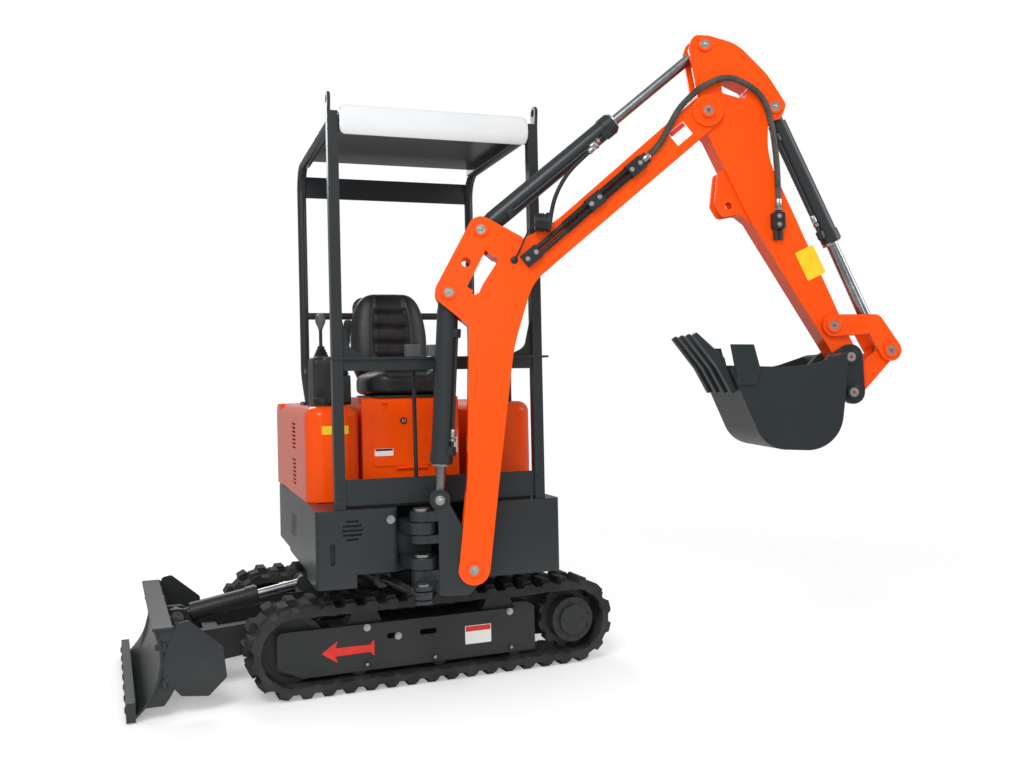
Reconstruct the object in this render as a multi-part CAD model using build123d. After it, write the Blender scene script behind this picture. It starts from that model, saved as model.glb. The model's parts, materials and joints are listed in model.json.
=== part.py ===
from build123d import *
import math
import os

os.makedirs("parts", exist_ok=True)

# Mini excavator with a canopy, millimetres, +Z up.
# Working frame: slew axis on Z, +X to the blade, +Y to the left track.
# House frame: x to the front of the house. Swing frame: x out along the boom, z up, y to its left.
# Outlines are corners (x, z) or (x, z, radius), drawn in the rest pose.

# Rest pose
slew_rest = 87.0
swing_rest = 75.7
swing_right_limit = 50.0

# Clearances
run_gap = 0.05
side_gap = 4.0
eye_gap = 6.0
head_gap = 2.0
slew_gap = 4.0
roller_gap = 1.0
panel_gap = 3.0
sweep_gap = 8.0
cut_over = 1.0

# Pins
pin_r = 17.5
pin_head_r = 27.0
pin_head = 8.0
neck_len = 24.0
gland_step = 4.0
gland_len = 40.0

# Tracks
track_gauge = 760.0
belt_width = 230.0
belt_thick = 25.0
belt_edge = 22.0
lug_height = 25.0
lug_edge_height = 13.0
lug_count = 40
lug_tip = 32.0
lug_root = 52.0
idler_x = 590.0
sprocket_x = -563.0
wheel_z = 180.0
wheel_r = 130.0
idler_width = 84.0
idler_dish = 14.0
idler_rim = 24.0
axle_r = 24.0
roller_r = 38.0
roller_waist = 29.0
roller_tread = 26.0
roller_pitch = 326.0
roller_mid = 11.0
roller_axle_r = 14.0
sprocket_teeth = 11
tooth_depth = 14.0
tooth_width = 45.0
hub_r = 92.0
hub_out = 90.0
cap_r = 62.0
cap_step = 14.0
motor_r = 84.0

# Track frames
frame_front = 654.0
frame_rear = -400.0
frame_low = 70.0
frame_top = 250.0
frame_nose = 95.0
frame_rise = 45.0
frame_plate = 12.0
frame_outer = 65.0
frame_inner = -80.0
frame_slots = ((210.0, 8.0), (60.0, 24.0))
slot_r = 11.0
slot_z = 194.0
skid_half = 70.0
skid_width = 70.0
skid_places = (310.0, -250.0)

# Centre frame
centre_half_x = 260.0
centre_half_y = 205.0
centre_low = 160.0
centre_top = 320.0
leg_in = 130.0
leg_out = 245.0
leg_low = 110.0
leg_top = 240.0
pedestal_r = 250.0
pedestal_step = 20.0
ring_top = 400.0
ring_height = 40.0
race_r = 190.0
race_depth = 30.0

# Blade
blade_pivot_x = 430.0
blade_pivot_z = 200.0
blade_arm_y = 175.0
blade_arm_w = 50.0
blade_lug_r = 42.0
blade_lug_thick = 20.0
blade_front = 1180.0
blade_low = 6.0
blade_height = 322.0
blade_top_back = 85.0
blade_hollow = 62.0
blade_half_w = 492.0
blade_thick = 10.0
edge_height = 70.0
edge_thick = 16.0
rib_thick = 12.0
rib_depth = 70.0
rib_places = (95.0, 300.0, 470.0)
blade_eye_x = 470.0
blade_eye_z = 352.0
blade_cyl_x = 985.0
blade_cyl_z = 262.0
blade_barrel_r = 38.0
blade_rod_r = 19.0
blade_eye_half = 22.0
blade_base_half = 24.0
blade_barrel_len = 330.0
blade_rod_start = 200.0
blade_pin_r = 16.0
cross_tube_x = 850.0
cross_tube_half = 30.0

# House
deck_low = 466.0
deck_top = 500.0
deck_front = 560.0
deck_half_w = 440.0
tail_r = 950.0
deck_inset = 40.0
box_low = 421.0
box_top = 712.0
box_front = 600.0
box_back = 330.0
box_right_over = 53.0
box_right_in = 182.0
box_left_in = 151.0
box_left_over = 35.0
box_round = 22.0
vent_r = 42.0
vent_slots = 5
vent_slot = 8.0
skirt_thick = 37.0
skirt_back = -348.0
weight_over = 30.0
weight_wall = 130.0
weight_low = 431.0
weight_top = 700.0
weight_front = -350.0
fender_width = 218.0
fender_top = 1096.0
fender_front = 300.0
fender_back = -640.0
fender_round = 70.0
fender_crown = 45.0
louvre_rows = 7
louvre_len = 120.0
louvre_slot = 8.0
louvre_pitch = 17.0
louvre_x = -60.0
louvre_blocks = (810.0, 965.0)
panel_thick = 6.0
floor_thick = 12.0
seat_panel_x = 250.0
seat_panel_top = 1125.0
seat_panel_half = 205.0
seat_panel_back = -345.0
seat_y = -43.0
door_low = 842.0
door_top = 1057.0
door_half = 160.0
door_lap = 15.0
hinge_r = 7.0
hinge_half = 22.0
hinge_gap = 2.0
knuckle_gap = 0.3
door_hinge_x = seat_panel_x + hinge_r + 1
door_hinge_z = door_low - hinge_r - hinge_gap
hood_front = seat_panel_back - 3 * hinge_r
hood_low = weight_top + 6
hood_inset = 8.0
hood_round = 60.0
hood_hinge_x = (seat_panel_back + hood_front) / 2
hood_hinge_z = seat_panel_top - 2 * panel_thick
engine_half_w = 200.0
engine_front = hood_front - 10
engine_top = 985.0
engine_room = 210.0

# Seat and controls
seat_half_w = 175.0
bolster = 38.0
bolster_rise = 20.0
seat_front = 268.0
seat_rear = -150.0
cushion_top = 1228.0
back_top = 1597.0
back_foot = -160.0
back_lean = 68.0
back_thick = 82.0
console_x = 90.0
console_y = 385.0
console_half_x = 90.0
console_half_y = 46.0
console_top = 1300.0
stick_r = 7.0
stick_top = 1440.0
knob_r = 20.0
boot_r = 26.0
boot_height = 45.0
lever_foot_x = 503.0
lever_top_x = 488.0
lever_top = 1300.0
lever_r = 8.0
lever_apart = 43.0
grip_half = 30.0
pedal_x = 480.0
pedal_y = 215.0
pedal_half = 32.0

# Canopy
post_x = 567.0
post_y = 398.0
post_half = 20.0
canopy_depth = 880.0
rail_r = 20.0
rail_bend = 110.0
rail_z = 2175.0
foot_bend = 95.0
foot_rise = 134.0
roof_low = 2130.0
roof_top = 2215.0
roof_sheet = 6.0
beam_height = 50.0
rear_beam_height = 95.0
grab_z = 1500.0
crossbar_z = 1266.0
crossbar_drop = 34.0
crossbar_over = 45.0
gusset = 110.0
plate_8 = 8.0
kick_low = 724.0
kick_top = 823.0
lug_eye_z = 2252.0
lug_tip_r = 27.0
lug_foot_r = 20.0
lug_plate = 12.0
lift_bore_r = 16.0
visor_back = 120.0
visor_round = 30.0
visor_low = 2118.0
visor_high = 2231.0

# Swing post
swing_x = 666.0
swing_y = -107.0
ear_r = 52.0
ear_root_r = 72.0
ear_root_x = 530.0
ear_low_z = (488.0, 528.0)
ear_high_z = (618.0, 662.0)
tower_back = 440.0
king_r = 46.0
king_low_r = 44.0
king_pin_r = 22.0
king_head_r = 32.0
bracket_low = 389.0
bracket_top = 702.0
jaw_thick = 30.0
cheek_thick = 20.0
spine_front = 104.0
spine_top = 626.0
horn_r = 38.0
boss_r = 50.0
swing_ear_y = -160.0
swing_ear_r = 32.0
swing_ear_thick = 14.0
swing_cyl_z = 420.0
swing_base_x = 40.0
swing_base_y = -300.0
swing_base_r = 34.0
swing_base_len = 70.0
swing_base_half = 16.0
swing_eye_half = 12.0
swing_pin_r = 14.0
swing_barrel_r = 32.0
swing_rod_r = 16.0
swing_barrel_len = 430.0
swing_rod_start = 360.0

# Work equipment pins in the swing frame at rest, (t, z)
foot = (189.0, 485.0)
boom_cyl_low = (68.0, 745.0)
boom_cyl_high = (116.0, 1515.0)
arm_cyl_base = (240.0, 1745.0)
arm_pivot = (1106.0, 2186.0)
arm_horn = (1104.0, 2442.0)
bucket_cyl_base = (1372.0, 2207.0)
thumb_bore = (1188.0, 1832.0)
rocker_pin = (1578.0, 1368.0)
rocker_knee = (1740.0, 1372.0)
bucket_pin = (1639.0, 1247.0)
link_high = (1802.0, 1270.0)
link_low = (1648.0, 1112.0)

# Boom
boom_half_w = 62.0
boom_plate = 10.0
boom_foot_r = 58.0
boom_tip_r = 60.0
boom_tip_boss = 10.0
boom_lug_r = 51.0
boom_corners = [
    (131.0, 470.0), (172.0, 826.0, 1500.0), (188.0, 1420.0, 260.0), (300.0, 1665.0, 180.0), (508.0, 1764.0, 420.0),
    (1065.0, 2236.0), (1160.0, 2160.0), (1130.0, 2125.0), (560.0, 1655.0, 700.0), (428.0, 1545.0, 190.0),
    (354.0, 1308.0, 700.0), (291.0, 825.0, 1500.0), (247.0, 470.0),
]
boom_hollow = [
    (176.0, 770.0), (184.0, 850.0, 1400.0), (200.0, 1416.0, 250.0), (308.0, 1654.0, 170.0), (514.0, 1752.0, 410.0),
    (925.0, 2101.0), (960.0, 1999.0), (552.0, 1663.0, 690.0), (418.0, 1550.0, 200.0),
    (343.0, 1308.0, 690.0), (274.0, 770.0),
]
boom_fork_cut = [(60.0, 380.0), (330.0, 380.0), (330.0, 550.0), (247.0, 550.0), (274.0, 771.0), (60.0, 771.0)]
boom_lug_cut = [
    (0.0, 1400.0), (160.0, 1400.0), (186.0, 1560.0, 120.0), (300.0, 1705.0, 120.0), (430.0, 1760.0), (430.0, 1920.0),
    (0.0, 1920.0),
]
boom_tip_cut = [(960.0, 1900.0), (1300.0, 1900.0), (1300.0, 2400.0), (1000.0, 2400.0), (960.0, 2210.0)]
boom_root_a = (235.0, 1430.0)
boom_root_b = (352.0, 1668.0)
boom_root_r = 62.0
boom_slot = ((212.0, 1512.0), (292.0, 1632.0))
boom_slot_r = 9.0
boom_hole = (182.0, 1625.0)
boom_hole_r = 18.0
boom_eye_r = 38.0
boom_barrel_r = 40.0
boom_rod_r = 20.0
boom_barrel_len = 640.0
boom_rod_start = 120.0

# Arm
arm_half_w = 50.0
arm_plate = 8.0
arm_pivot_r = 56.0
arm_tip_r = 46.0
arm_rocker_r = 44.0
horn_in = 34.0
arm_corners = [
    (1060.0, 2150.0), (1074.0, 2240.0, 120.0), (1042.0, 2425.0, 36.0), (1060.0, 2478.0, 30.0), (1120.0, 2476.0, 40.0),
    (1230.0, 2445.0, 160.0), (1345.0, 2330.0, 220.0), (1418.0, 2215.0, 26.0), (1395.0, 2160.0, 30.0),
    (1345.0, 2150.0, 20.0), (1339.0, 2015.0, 300.0), (1433.0, 1807.0, 900.0), (1640.0, 1340.0), (1680.0, 1262.0),
    (1605.0, 1215.0), (1562.0, 1290.0, 300.0), (1265.0, 1776.0, 900.0), (1114.0, 2091.0),
]
arm_hollow = [
    (1290.0, 2120.0), (1300.0, 2000.0, 200.0), (1350.0, 1880.0), (1555.0, 1450.0), (1500.0, 1440.0), (1290.0, 1790.0),
    (1150.0, 2090.0), (1200.0, 2200.0), (1280.0, 2200.0),
]
arm_horn_cut = [
    (1000.0, 2275.0), (1150.0, 2275.0), (1170.0, 2330.0), (1320.0, 2270.0), (1330.0, 2130.0), (1480.0, 2130.0),
    (1480.0, 2600.0), (1000.0, 2600.0),
]
arm_window = [(1164.0, 2330.0, 12.0), (1269.0, 2279.0, 12.0), (1257.0, 2233.0, 12.0), (1168.0, 2258.0, 12.0)]
thumb_half = 36.0
thumb_in = 24.0
thumb_corners = [
    (1222.0, 1990.0), (1148.0, 1958.0, 20.0), (1133.0, 1837.0, 30.0), (1162.0, 1788.0, 24.0), (1225.0, 1800.0, 24.0),
    (1300.0, 1740.0), (1300.0, 1850.0),
]
thumb_slot = [(1100.0, 2010.0), (1180.0, 1990.0), (1222.0, 1800.0), (1180.0, 1700.0), (1100.0, 1700.0)]
thumb_bore_r = 14.0
arm_eye_r = 36.0
arm_rod_eye_r = 32.0
arm_barrel_r = 38.0
arm_rod_r = 19.0
arm_barrel_len = 656.0
arm_rod_start = 440.0

# Bucket and its linkage
bucket_eye_r = 34.0
bucket_rod_eye_r = 30.0
bucket_rod_half = 23.0
bucket_barrel_r = 35.0
bucket_rod_r = 17.5
bucket_barrel_len = 565.0
bucket_rod_start = 480.0
rocker_thick = 16.0
rocker_r = 42.0
rocker_knee_r = 36.0
link_half = 48.0
link_slot = 29.0
link_slot_len = 95.0
link_r_high = 34.0
link_r_low = 38.0
ear_thick = 22.0
ear_in = 55.0
ear_pin_r = 48.0
ear_link_r = 45.0
tip_sweep = 98.0
bucket_half_w = 200.0
bucket_plate = 10.0
bucket_corners = [
    (1127.0, 1221.0), (1258.0, 912.0, 120.0), (1538.0, 898.0, 135.0), (1560.0, 1075.0, 200.0), (1575.0, 1262.0),
    (1443.0, 1220.0, 200.0), (1338.0, 1212.0, 300.0),
]
bowl_corners = [
    (1150.0, 1320.0), (1139.0, 1221.0), (1265.0, 922.0, 112.0), (1529.0, 909.0, 125.0), (1550.0, 1078.0, 190.0),
    (1560.0, 1320.0),
]
ear_web = [(1500.0, 1195.0), (1560.0, 1256.0), (1620.0, 1290.0), (1610.0, 1070.0), (1556.0, 1068.0), (1546.0, 1080.0)]
cutter_corners = [(1132.0, 1298.0), (1218.0, 1296.0), (1241.0, 1205.0), (1225.0, 1150.0), (1158.0, 1150.0)]
cutter_thick = 10.0
tooth_corners = [
    (1163.0, 1125.6), (1127.0, 1221.0), (1120.0, 1250.0), (1018.0, 1345.0), (1005.0, 1335.0), (1095.0, 1215.0),
    (1146.0, 1118.0),
]
tooth_half = 18.0
tooth_count = 4
tooth_pitch = 100.0

# Hoses and lamp on the boom's right side
hose_r = 9.0
hose_out = 16.0
hose_apart = 24.0
hose_run = ((400.0, 1622.0), (486.0, 1690.0, 120.0), (640.0, 1822.0), (868.0, 2010.0))
clamp_places = ((425.0, 1643.0), (667.0, 1845.0), (822.0, 1972.0))
clamp_half = (34.0, 26.0)
clamp_thick = 30.0
elbow_run = (
    (868.25, 2010.2), (914.3, 2048.2, 60.0), (985.0, 2190.0, 100.0), (1165.0, 2330.0, 110.0), (1345.0, 2225.0, 110.0),
    (1368.0, 1990.0, 300.0), (1368.0, 1800.0),
)
arm_block_t = (1346.0, 1392.0)
arm_block_z = (1736.0, 1800.0)
arm_block_thick = 34.0
lamp_t = (436.0, 492.0)
lamp_z = 1764.0
lamp_r = 30.0
lamp_y = 100.0


def box(x0, x1, y0, y1, z0, z1):
    return Pos((x0 + x1) / 2, (y0 + y1) / 2, (z0 + z1) / 2) * Box(x1 - x0, y1 - y0, z1 - z0)


def rod_y(x, z, r, y0, y1):
    return Pos(x, (y0 + y1) / 2, z) * Rot(90, 0, 0) * Cylinder(r, y1 - y0)


def rod_z(x, y, r, z0, z1):
    return Pos(x, y, (z0 + z1) / 2) * Cylinder(r, z1 - z0)


def rod_x(y, z, r, x0, x1):
    return Pos((x0 + x1) / 2, y, z) * Rot(0, 90, 0) * Cylinder(r, x1 - x0)


def both_sides(low, high):
    """The same span on the left and on the right of a middle plane."""
    return ((low, high), (-high, -low))


def rounded_edges(corners, closed=True):
    """Straight runs and tangent arcs through corners given as (point, radius)."""
    turns = []
    count = len(corners)
    for i, (p, r) in enumerate(corners):
        if r == 0:
            turns.append((p, None, p))
            continue
        to_last = (corners[i - 1][0] - p).normalized()
        to_next = (corners[(i + 1) % count][0] - p).normalized()
        half = math.radians(to_last.get_angle(to_next)) / 2
        reach = r / math.tan(half)
        crown = p + (to_last + to_next).normalized() * (r / math.sin(half) - r)
        turns.append((p + to_last * reach, crown, p + to_next * reach))
    edges = []
    for i, (start, crown, stop) in enumerate(turns):
        if crown is not None:
            edges.append(Edge.make_three_point_arc(start, crown, stop))
        if closed or i + 1 < count:
            after = turns[(i + 1) % count][0]
            if (after - stop).length > 0.001:
                edges.append(Edge.make_line(stop, after))
    return edges


def radius_of(corner):
    return corner[2] if len(corner) > 2 else 0


def plate_xz(corners, y0, y1):
    points = [(Vector(c[0], y0, c[1]), radius_of(c)) for c in corners]
    return Solid.extrude(Face(Wire(rounded_edges(points))), Vector(0, y1 - y0, 0))


def plate_xy(corners, z0, z1):
    points = [(Vector(c[0], c[1], z0), radius_of(c)) for c in corners]
    return Solid.extrude(Face(Wire(rounded_edges(points))), Vector(0, 0, z1 - z0))


def plate_yz(corners, x0, x1):
    points = [(Vector(x0, c[0], c[1]), radius_of(c)) for c in corners]
    return Solid.extrude(Face(Wire(rounded_edges(points))), Vector(x1 - x0, 0, 0))


def pipe(corners, r):
    """A round bar along straight runs and tangent arcs, corners (x, y, z) or (x, y, z, radius)."""
    points = [(Vector(*c[:3]), c[3] if len(c) > 3 else 0) for c in corners]
    path = Wire(rounded_edges(points, closed=False))
    start = points[0][0]
    ring = Face(Wire.make_circle(r, Plane(origin=start, z_dir=points[1][0] - start)))
    return Solid.sweep(ring, path)


def tangents(p, rp, q, rq):
    """Four corners of the straight part of a link between two round ends."""
    dx, dz = q[0] - p[0], q[1] - p[1]
    d = math.hypot(dx, dz)
    lean = math.acos((rp - rq) / d)
    base = math.atan2(dz, dx)
    up, dn = base + lean, base - lean
    return [
        (p[0] + rp * math.cos(dn), p[1] + rp * math.sin(dn)),
        (q[0] + rq * math.cos(dn), q[1] + rq * math.sin(dn)),
        (q[0] + rq * math.cos(up), q[1] + rq * math.sin(up)),
        (p[0] + rp * math.cos(up), p[1] + rp * math.sin(up)),
    ]


def link_plate(p, rp, q, rq, y0, y1):
    body = plate_xz(tangents(p, rp, q, rq), y0, y1)
    return body + rod_y(p[0], p[1], rp, y0, y1) + rod_y(q[0], q[1], rq, y0, y1)


def link_flat(p, rp, q, rq, z0, z1):
    body = plate_xy(tangents(p, rp, q, rq), z0, z1)
    return body + rod_z(p[0], p[1], rp, z0, z1) + rod_z(q[0], q[1], rq, z0, z1)


def solids_of(shapes):
    found = []
    for shape in shapes:
        found.extend(shape.solids())
    return Compound(found)


def joined(shapes):
    body = shapes[0]
    for shape in shapes[1:]:
        body += shape
    return body


def bored(body, pins, r, half):
    for p in pins:
        body -= rod_y(p[0], p[1], r, -half, half)
    return body


def headed_pin(p, r, half):
    """A cross pin with a round head on both ends."""
    pin = rod_y(p[0], p[1], r, -half - pin_head / 2, half + pin_head / 2)
    for y0, y1 in both_sides(half, half + pin_head):
        pin += rod_y(p[0], p[1], pin_head_r, y0, y1)
    return pin


def pin_heads(p, half):
    """The heads of a pin on both outer faces, with the opened rod eye free between them."""
    return [rod_y(p[0], p[1], pin_head_r, y0, y1) for y0, y1 in both_sides(half, half + pin_head)]


# Undercarriage

def belt_outline(phase, height, tip):
    """Outer line of the belt with its lugs, as corners."""
    base_r = wheel_r + belt_thick
    span = idler_x - sprocket_x
    turn = math.pi * base_r
    total = 2 * span + 2 * turn

    def at(s, h):
        s = s % total
        r = base_r + h
        if s < span:
            return (sprocket_x + s, wheel_z + r)
        if s < span + turn:
            a = math.pi / 2 - (s - span) / base_r
            return (idler_x + r * math.cos(a), wheel_z + r * math.sin(a))
        if s < 2 * span + turn:
            return (idler_x - (s - span - turn), wheel_z - r)
        a = -math.pi / 2 - (s - 2 * span - turn) / base_r
        return (sprocket_x + r * math.cos(a), wheel_z + r * math.sin(a))

    pitch = total / lug_count
    outline = []
    for i in range(lug_count):
        s = (i + phase) * pitch
        outline.append(at(s - lug_root / 2, 0))
        outline.append(at(s - tip / 2, height))
        outline.append(at(s + tip / 2, height))
        outline.append(at(s + lug_root / 2, 0))
    return outline


def track(side):
    """Rubber belt: two half widths with staggered lugs that step down at the belt's edges."""
    mid = side * track_gauge / 2
    half = belt_width / 2
    strips = []
    for phase, inner, outer in ((0.0, mid, mid - half), (0.5, mid, mid + half)):
        rim = outer + math.copysign(belt_edge, inner - outer)
        strips.append(plate_xz(belt_outline(phase, lug_height, lug_tip), min(inner, rim), max(inner, rim)))
        strips.append(plate_xz(belt_outline(phase, lug_edge_height, lug_tip), min(outer, rim), max(outer, rim)))
    y0, y1 = mid - half - cut_over, mid + half + cut_over
    hole = box(sprocket_x, idler_x, y0, y1, wheel_z - wheel_r, wheel_z + wheel_r)
    hole += rod_y(idler_x, wheel_z, wheel_r, y0, y1)
    hole += rod_y(sprocket_x, wheel_z, wheel_r, y0, y1)
    return joined(strips) - hole


def side_span(side, low, high):
    """A span across the track, outward positive, as ordered y limits."""
    a = side * (track_gauge / 2 + low)
    b = side * (track_gauge / 2 + high)
    return min(a, b), max(a, b)


def track_frame(side):
    outline = [
        (frame_rear, frame_low),
        (frame_front - frame_nose, frame_low, 30),
        (frame_front, frame_low + frame_rise, 20),
        (frame_front, frame_top, 22),
        (frame_rear, frame_top),
    ]
    y0, y1 = side_span(side, frame_outer - frame_plate, frame_outer)
    body = plate_xz(outline, y0, y1)
    for mid, reach in frame_slots:
        ends = (mid - reach, slot_z), (mid + reach, slot_z)
        body -= link_plate(ends[0], slot_r, ends[1], slot_r, y0 - cut_over, y1 + cut_over)
    y0, y1 = side_span(side, frame_inner, frame_inner + frame_plate)
    body += plate_xz(outline, y0, y1)
    body += link_plate((frame_rear + hub_r, wheel_z), hub_r - 10, (sprocket_x, wheel_z), motor_r + 4, y0, y1)
    y0, y1 = side_span(side, frame_inner, frame_outer)
    body += box(frame_rear, idler_x - wheel_r - 15, y0, y1, frame_top - frame_plate, frame_top)
    y0, y1 = side_span(side, -skid_width / 2, skid_width / 2)
    for skid_x in skid_places:
        top = wheel_z + wheel_r - roller_gap
        skid = [
            (skid_x - skid_half, frame_top),
            (skid_x - skid_half * 0.6, top, 20),
            (skid_x + skid_half * 0.6, top, 20),
            (skid_x + skid_half, frame_top),
        ]
        body += plate_xz(skid, y0, y1)
    return body


def roller(x, z, side):
    """A waisted roller with two treads on its axle."""
    y0, y1 = side_span(side, frame_inner + frame_plate + 5, frame_outer - frame_plate - 5)
    s0, s1 = side_span(side, frame_inner + frame_plate, frame_outer - frame_plate)
    body = rod_y(x, z, roller_waist, y0, y1) + rod_y(x, z, roller_axle_r, s0, s1)
    body += rod_y(x, z, roller_r, y0, y0 + roller_tread)
    return body + rod_y(x, z, roller_r, y1 - roller_tread, y1)


def idler(side):
    y0, y1 = side_span(side, -idler_width * 0.6, idler_width * 0.4)
    s0, s1 = side_span(side, frame_inner + frame_plate, frame_outer - frame_plate)
    wheel = rod_y(idler_x, wheel_z, wheel_r - roller_gap, y0, y1)
    dish_r = wheel_r - idler_rim
    wheel -= rod_y(idler_x, wheel_z, dish_r, y0 - cut_over, y0 + idler_dish)
    wheel -= rod_y(idler_x, wheel_z, dish_r, y1 - idler_dish, y1 + cut_over)
    return wheel + rod_y(idler_x, wheel_z, axle_r * 2, y0, y1) + rod_y(idler_x, wheel_z, axle_r, s0, s1)


def rollers(side):
    z = wheel_z - wheel_r + roller_gap + roller_r
    found = [roller(roller_mid + i * roller_pitch, z, side) for i in (-1, 0, 1)]
    return solids_of(found + [idler(side)])


def sprocket(side):
    """Toothed ring on the track motor, with the stepped final-drive hub outside."""
    tip = wheel_r - roller_gap
    root = tip - tooth_depth
    corners = []
    for i in range(sprocket_teeth):
        for part, r in ((0.0, root), (0.28, root), (0.42, tip), (0.78, tip), (0.92, root)):
            a = 2 * math.pi * (i + part) / sprocket_teeth
            corners.append((sprocket_x + r * math.cos(a), wheel_z + r * math.sin(a)))
    y0, y1 = side_span(side, tooth_width * -0.45, tooth_width * 0.55)
    body = plate_xz(corners, y0, y1)
    y0, y1 = side_span(side, frame_inner + frame_plate, tooth_width * -0.45)
    body += rod_y(sprocket_x, wheel_z, motor_r, y0, y1)
    y0, y1 = side_span(side, tooth_width * 0.55, hub_out)
    body += rod_y(sprocket_x, wheel_z, hub_r, y0, y1)
    y0, y1 = side_span(side, hub_out, hub_out + cap_step)
    return body + rod_y(sprocket_x, wheel_z, cap_r, y0, y1)


def centre_frame():
    body = box(-centre_half_x, centre_half_x, -centre_half_y, centre_half_y, centre_low, centre_top)
    reach = track_gauge / 2 + frame_inner
    for sx in (-1, 1):
        for y0, y1 in both_sides(centre_half_y - 5, reach):
            x0, x1 = sorted((sx * leg_in, sx * leg_out))
            body += box(x0, x1, y0, y1, leg_low, leg_top)
    nose_half = blade_arm_y - blade_arm_w / 2 - 2 * side_gap - blade_lug_thick - 12
    body += box(centre_half_x - 10, blade_pivot_x - 55, -nose_half, nose_half, centre_low, centre_top - 20)
    pivot = (blade_pivot_x, blade_pivot_z)
    root = (centre_half_x - 30, blade_pivot_z + 20)
    lug_in = blade_arm_w / 2 + side_gap
    for sy in (-1, 1):
        for low, high in both_sides(lug_in, lug_in + blade_lug_thick):
            y0, y1 = sy * blade_arm_y + low, sy * blade_arm_y + high
            lug = link_plate(pivot, blade_lug_r, root, blade_lug_r + 6, y0, y1)
            body += lug - rod_y(*pivot, pin_r + run_gap, y0 - cut_over, y1 + cut_over)
    eye_in = blade_eye_half + eye_gap
    for y0, y1 in both_sides(eye_in, eye_in + plate_8 * 2):
        body += link_plate((blade_eye_x, blade_eye_z), 34, (centre_half_x + 70, centre_top - 60), 36, y0, y1)
    for y0, y1 in both_sides(eye_in + plate_8 * 2, eye_in + plate_8 * 3):
        body += rod_y(blade_eye_x, blade_eye_z, pin_head_r - 4, y0, y1)
    return body + rod_z(0, 0, pedestal_r - pedestal_step, centre_top, ring_top - ring_height)


def slew_ring():
    ring = rod_z(0, 0, pedestal_r, ring_top - ring_height, ring_top)
    return ring - rod_z(0, 0, race_r + run_gap, ring_top - ring_height, ring_top + cut_over)


# Blade

def blade_curve(inset):
    """Three points of the hollow front face, set back by the inset."""
    top_z = blade_low + blade_height
    return (
        (blade_front - inset, blade_low),
        (blade_front - blade_top_back / 2 - blade_hollow - inset, blade_low + blade_height / 2),
        (blade_front - blade_top_back - inset, top_z),
    )


def curved_slab(front, back, half):
    """A slab between two arcs, each given by three points."""
    a = [Vector(x, -half, z) for x, z in front]
    b = [Vector(x, -half, z) for x, z in back]
    edges = [
        Edge.make_three_point_arc(a[0], a[1], a[2]),
        Edge.make_line(a[2], b[2]),
        Edge.make_three_point_arc(b[2], b[1], b[0]),
        Edge.make_line(b[0], a[0]),
    ]
    return Solid.extrude(Face(Wire(edges)), Vector(0, 2 * half, 0))


def blade_plate():
    body = curved_slab(blade_curve(0), blade_curve(blade_thick), blade_half_w)
    edge_x = blade_front - edge_thick - 10
    body += box(edge_x, edge_x + edge_thick * 2, -blade_half_w, blade_half_w, blade_low, blade_low + edge_height)
    top = blade_curve(0)[2]
    body += box(top[0] - rib_depth, top[0], -blade_half_w, blade_half_w, top[1] - blade_thick, top[1])
    behind = curved_slab(blade_curve(blade_thick / 2), blade_curve(blade_thick / 2 + rib_depth), blade_half_w)
    for place in rib_places:
        for y0, y1 in both_sides(place, place + rib_thick):
            low = blade_low + edge_height * 0.6
            body += behind & box(0, blade_front * 2, y0, y1, low, top[1])
    return body


def blade_arms():
    pivot = (blade_pivot_x, blade_pivot_z)
    back_x = blade_front - blade_hollow / 2
    arms = []
    half = blade_arm_w / 2
    for sy in (-1, 1):
        y0, y1 = sy * blade_arm_y - half, sy * blade_arm_y + half
        outline = [
            (blade_pivot_x, blade_pivot_z - 36),
            (back_x, blade_low + edge_height),
            (back_x, blade_pivot_z + 20),
            (cross_tube_x - 150, blade_pivot_z + 50, 200),
            (blade_pivot_x, blade_pivot_z + 36),
        ]
        arm = plate_xz(outline, y0, y1) + rod_y(*pivot, blade_lug_r - 4, y0, y1)
        arms.append(arm - rod_y(*pivot, pin_r + run_gap, y0 - cut_over, y1 + cut_over))
    body = joined(arms)
    x0, x1 = cross_tube_x - cross_tube_half, cross_tube_x + cross_tube_half
    body += box(x0, x1, -blade_arm_y, blade_arm_y, blade_pivot_z - 80, blade_pivot_z)
    base_in = blade_base_half + side_gap
    lug = [
        (cross_tube_x + 20, blade_pivot_z - 75),
        (back_x, blade_low + edge_height + 20),
        (back_x, blade_cyl_z + 28),
        (blade_cyl_x + 40, blade_cyl_z + 36, 20),
        (blade_cyl_x - 36, blade_cyl_z + 36, 34),
    ]
    for y0, y1 in both_sides(base_in, base_in + 20):
        body += plate_xz(lug, y0, y1)
    body -= rod_y(blade_cyl_x, blade_cyl_z, blade_pin_r, -base_in - 40, base_in + 40)
    return body - curved_slab(blade_curve(-200), blade_curve(blade_thick), blade_half_w)


def blade_pivot_pins():
    reach = blade_arm_w / 2 + side_gap + blade_lug_thick
    pin = headed_pin((blade_pivot_x, blade_pivot_z), pin_r, reach)
    return solids_of([Pos(0, sy * blade_arm_y, 0) * pin for sy in (-1, 1)])


def blade_cylinder_pin():
    return headed_pin((blade_cyl_x, blade_cyl_z), blade_pin_r, blade_base_half + side_gap + 20)


# Cylinders: eye at the origin end, rod running along +x of its own frame

def barrel_shape(eye_r, eye_half, pin, barrel_r, rod_r, length):
    body = rod_y(0, 0, eye_r, -eye_half, eye_half)
    body += rod_x(0, 0, min(eye_half, barrel_r) - 2, eye_r * 0.7, eye_r + neck_len + 5)
    body += rod_x(0, 0, barrel_r, eye_r + neck_len, length)
    body += rod_x(0, 0, barrel_r + gland_step, length - gland_len - 6, length - 6)
    body -= rod_y(0, 0, pin + run_gap, -eye_half - cut_over, eye_half + cut_over)
    return body - rod_x(0, 0, rod_r + run_gap, eye_r + neck_len + 15, length + cut_over)


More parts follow.
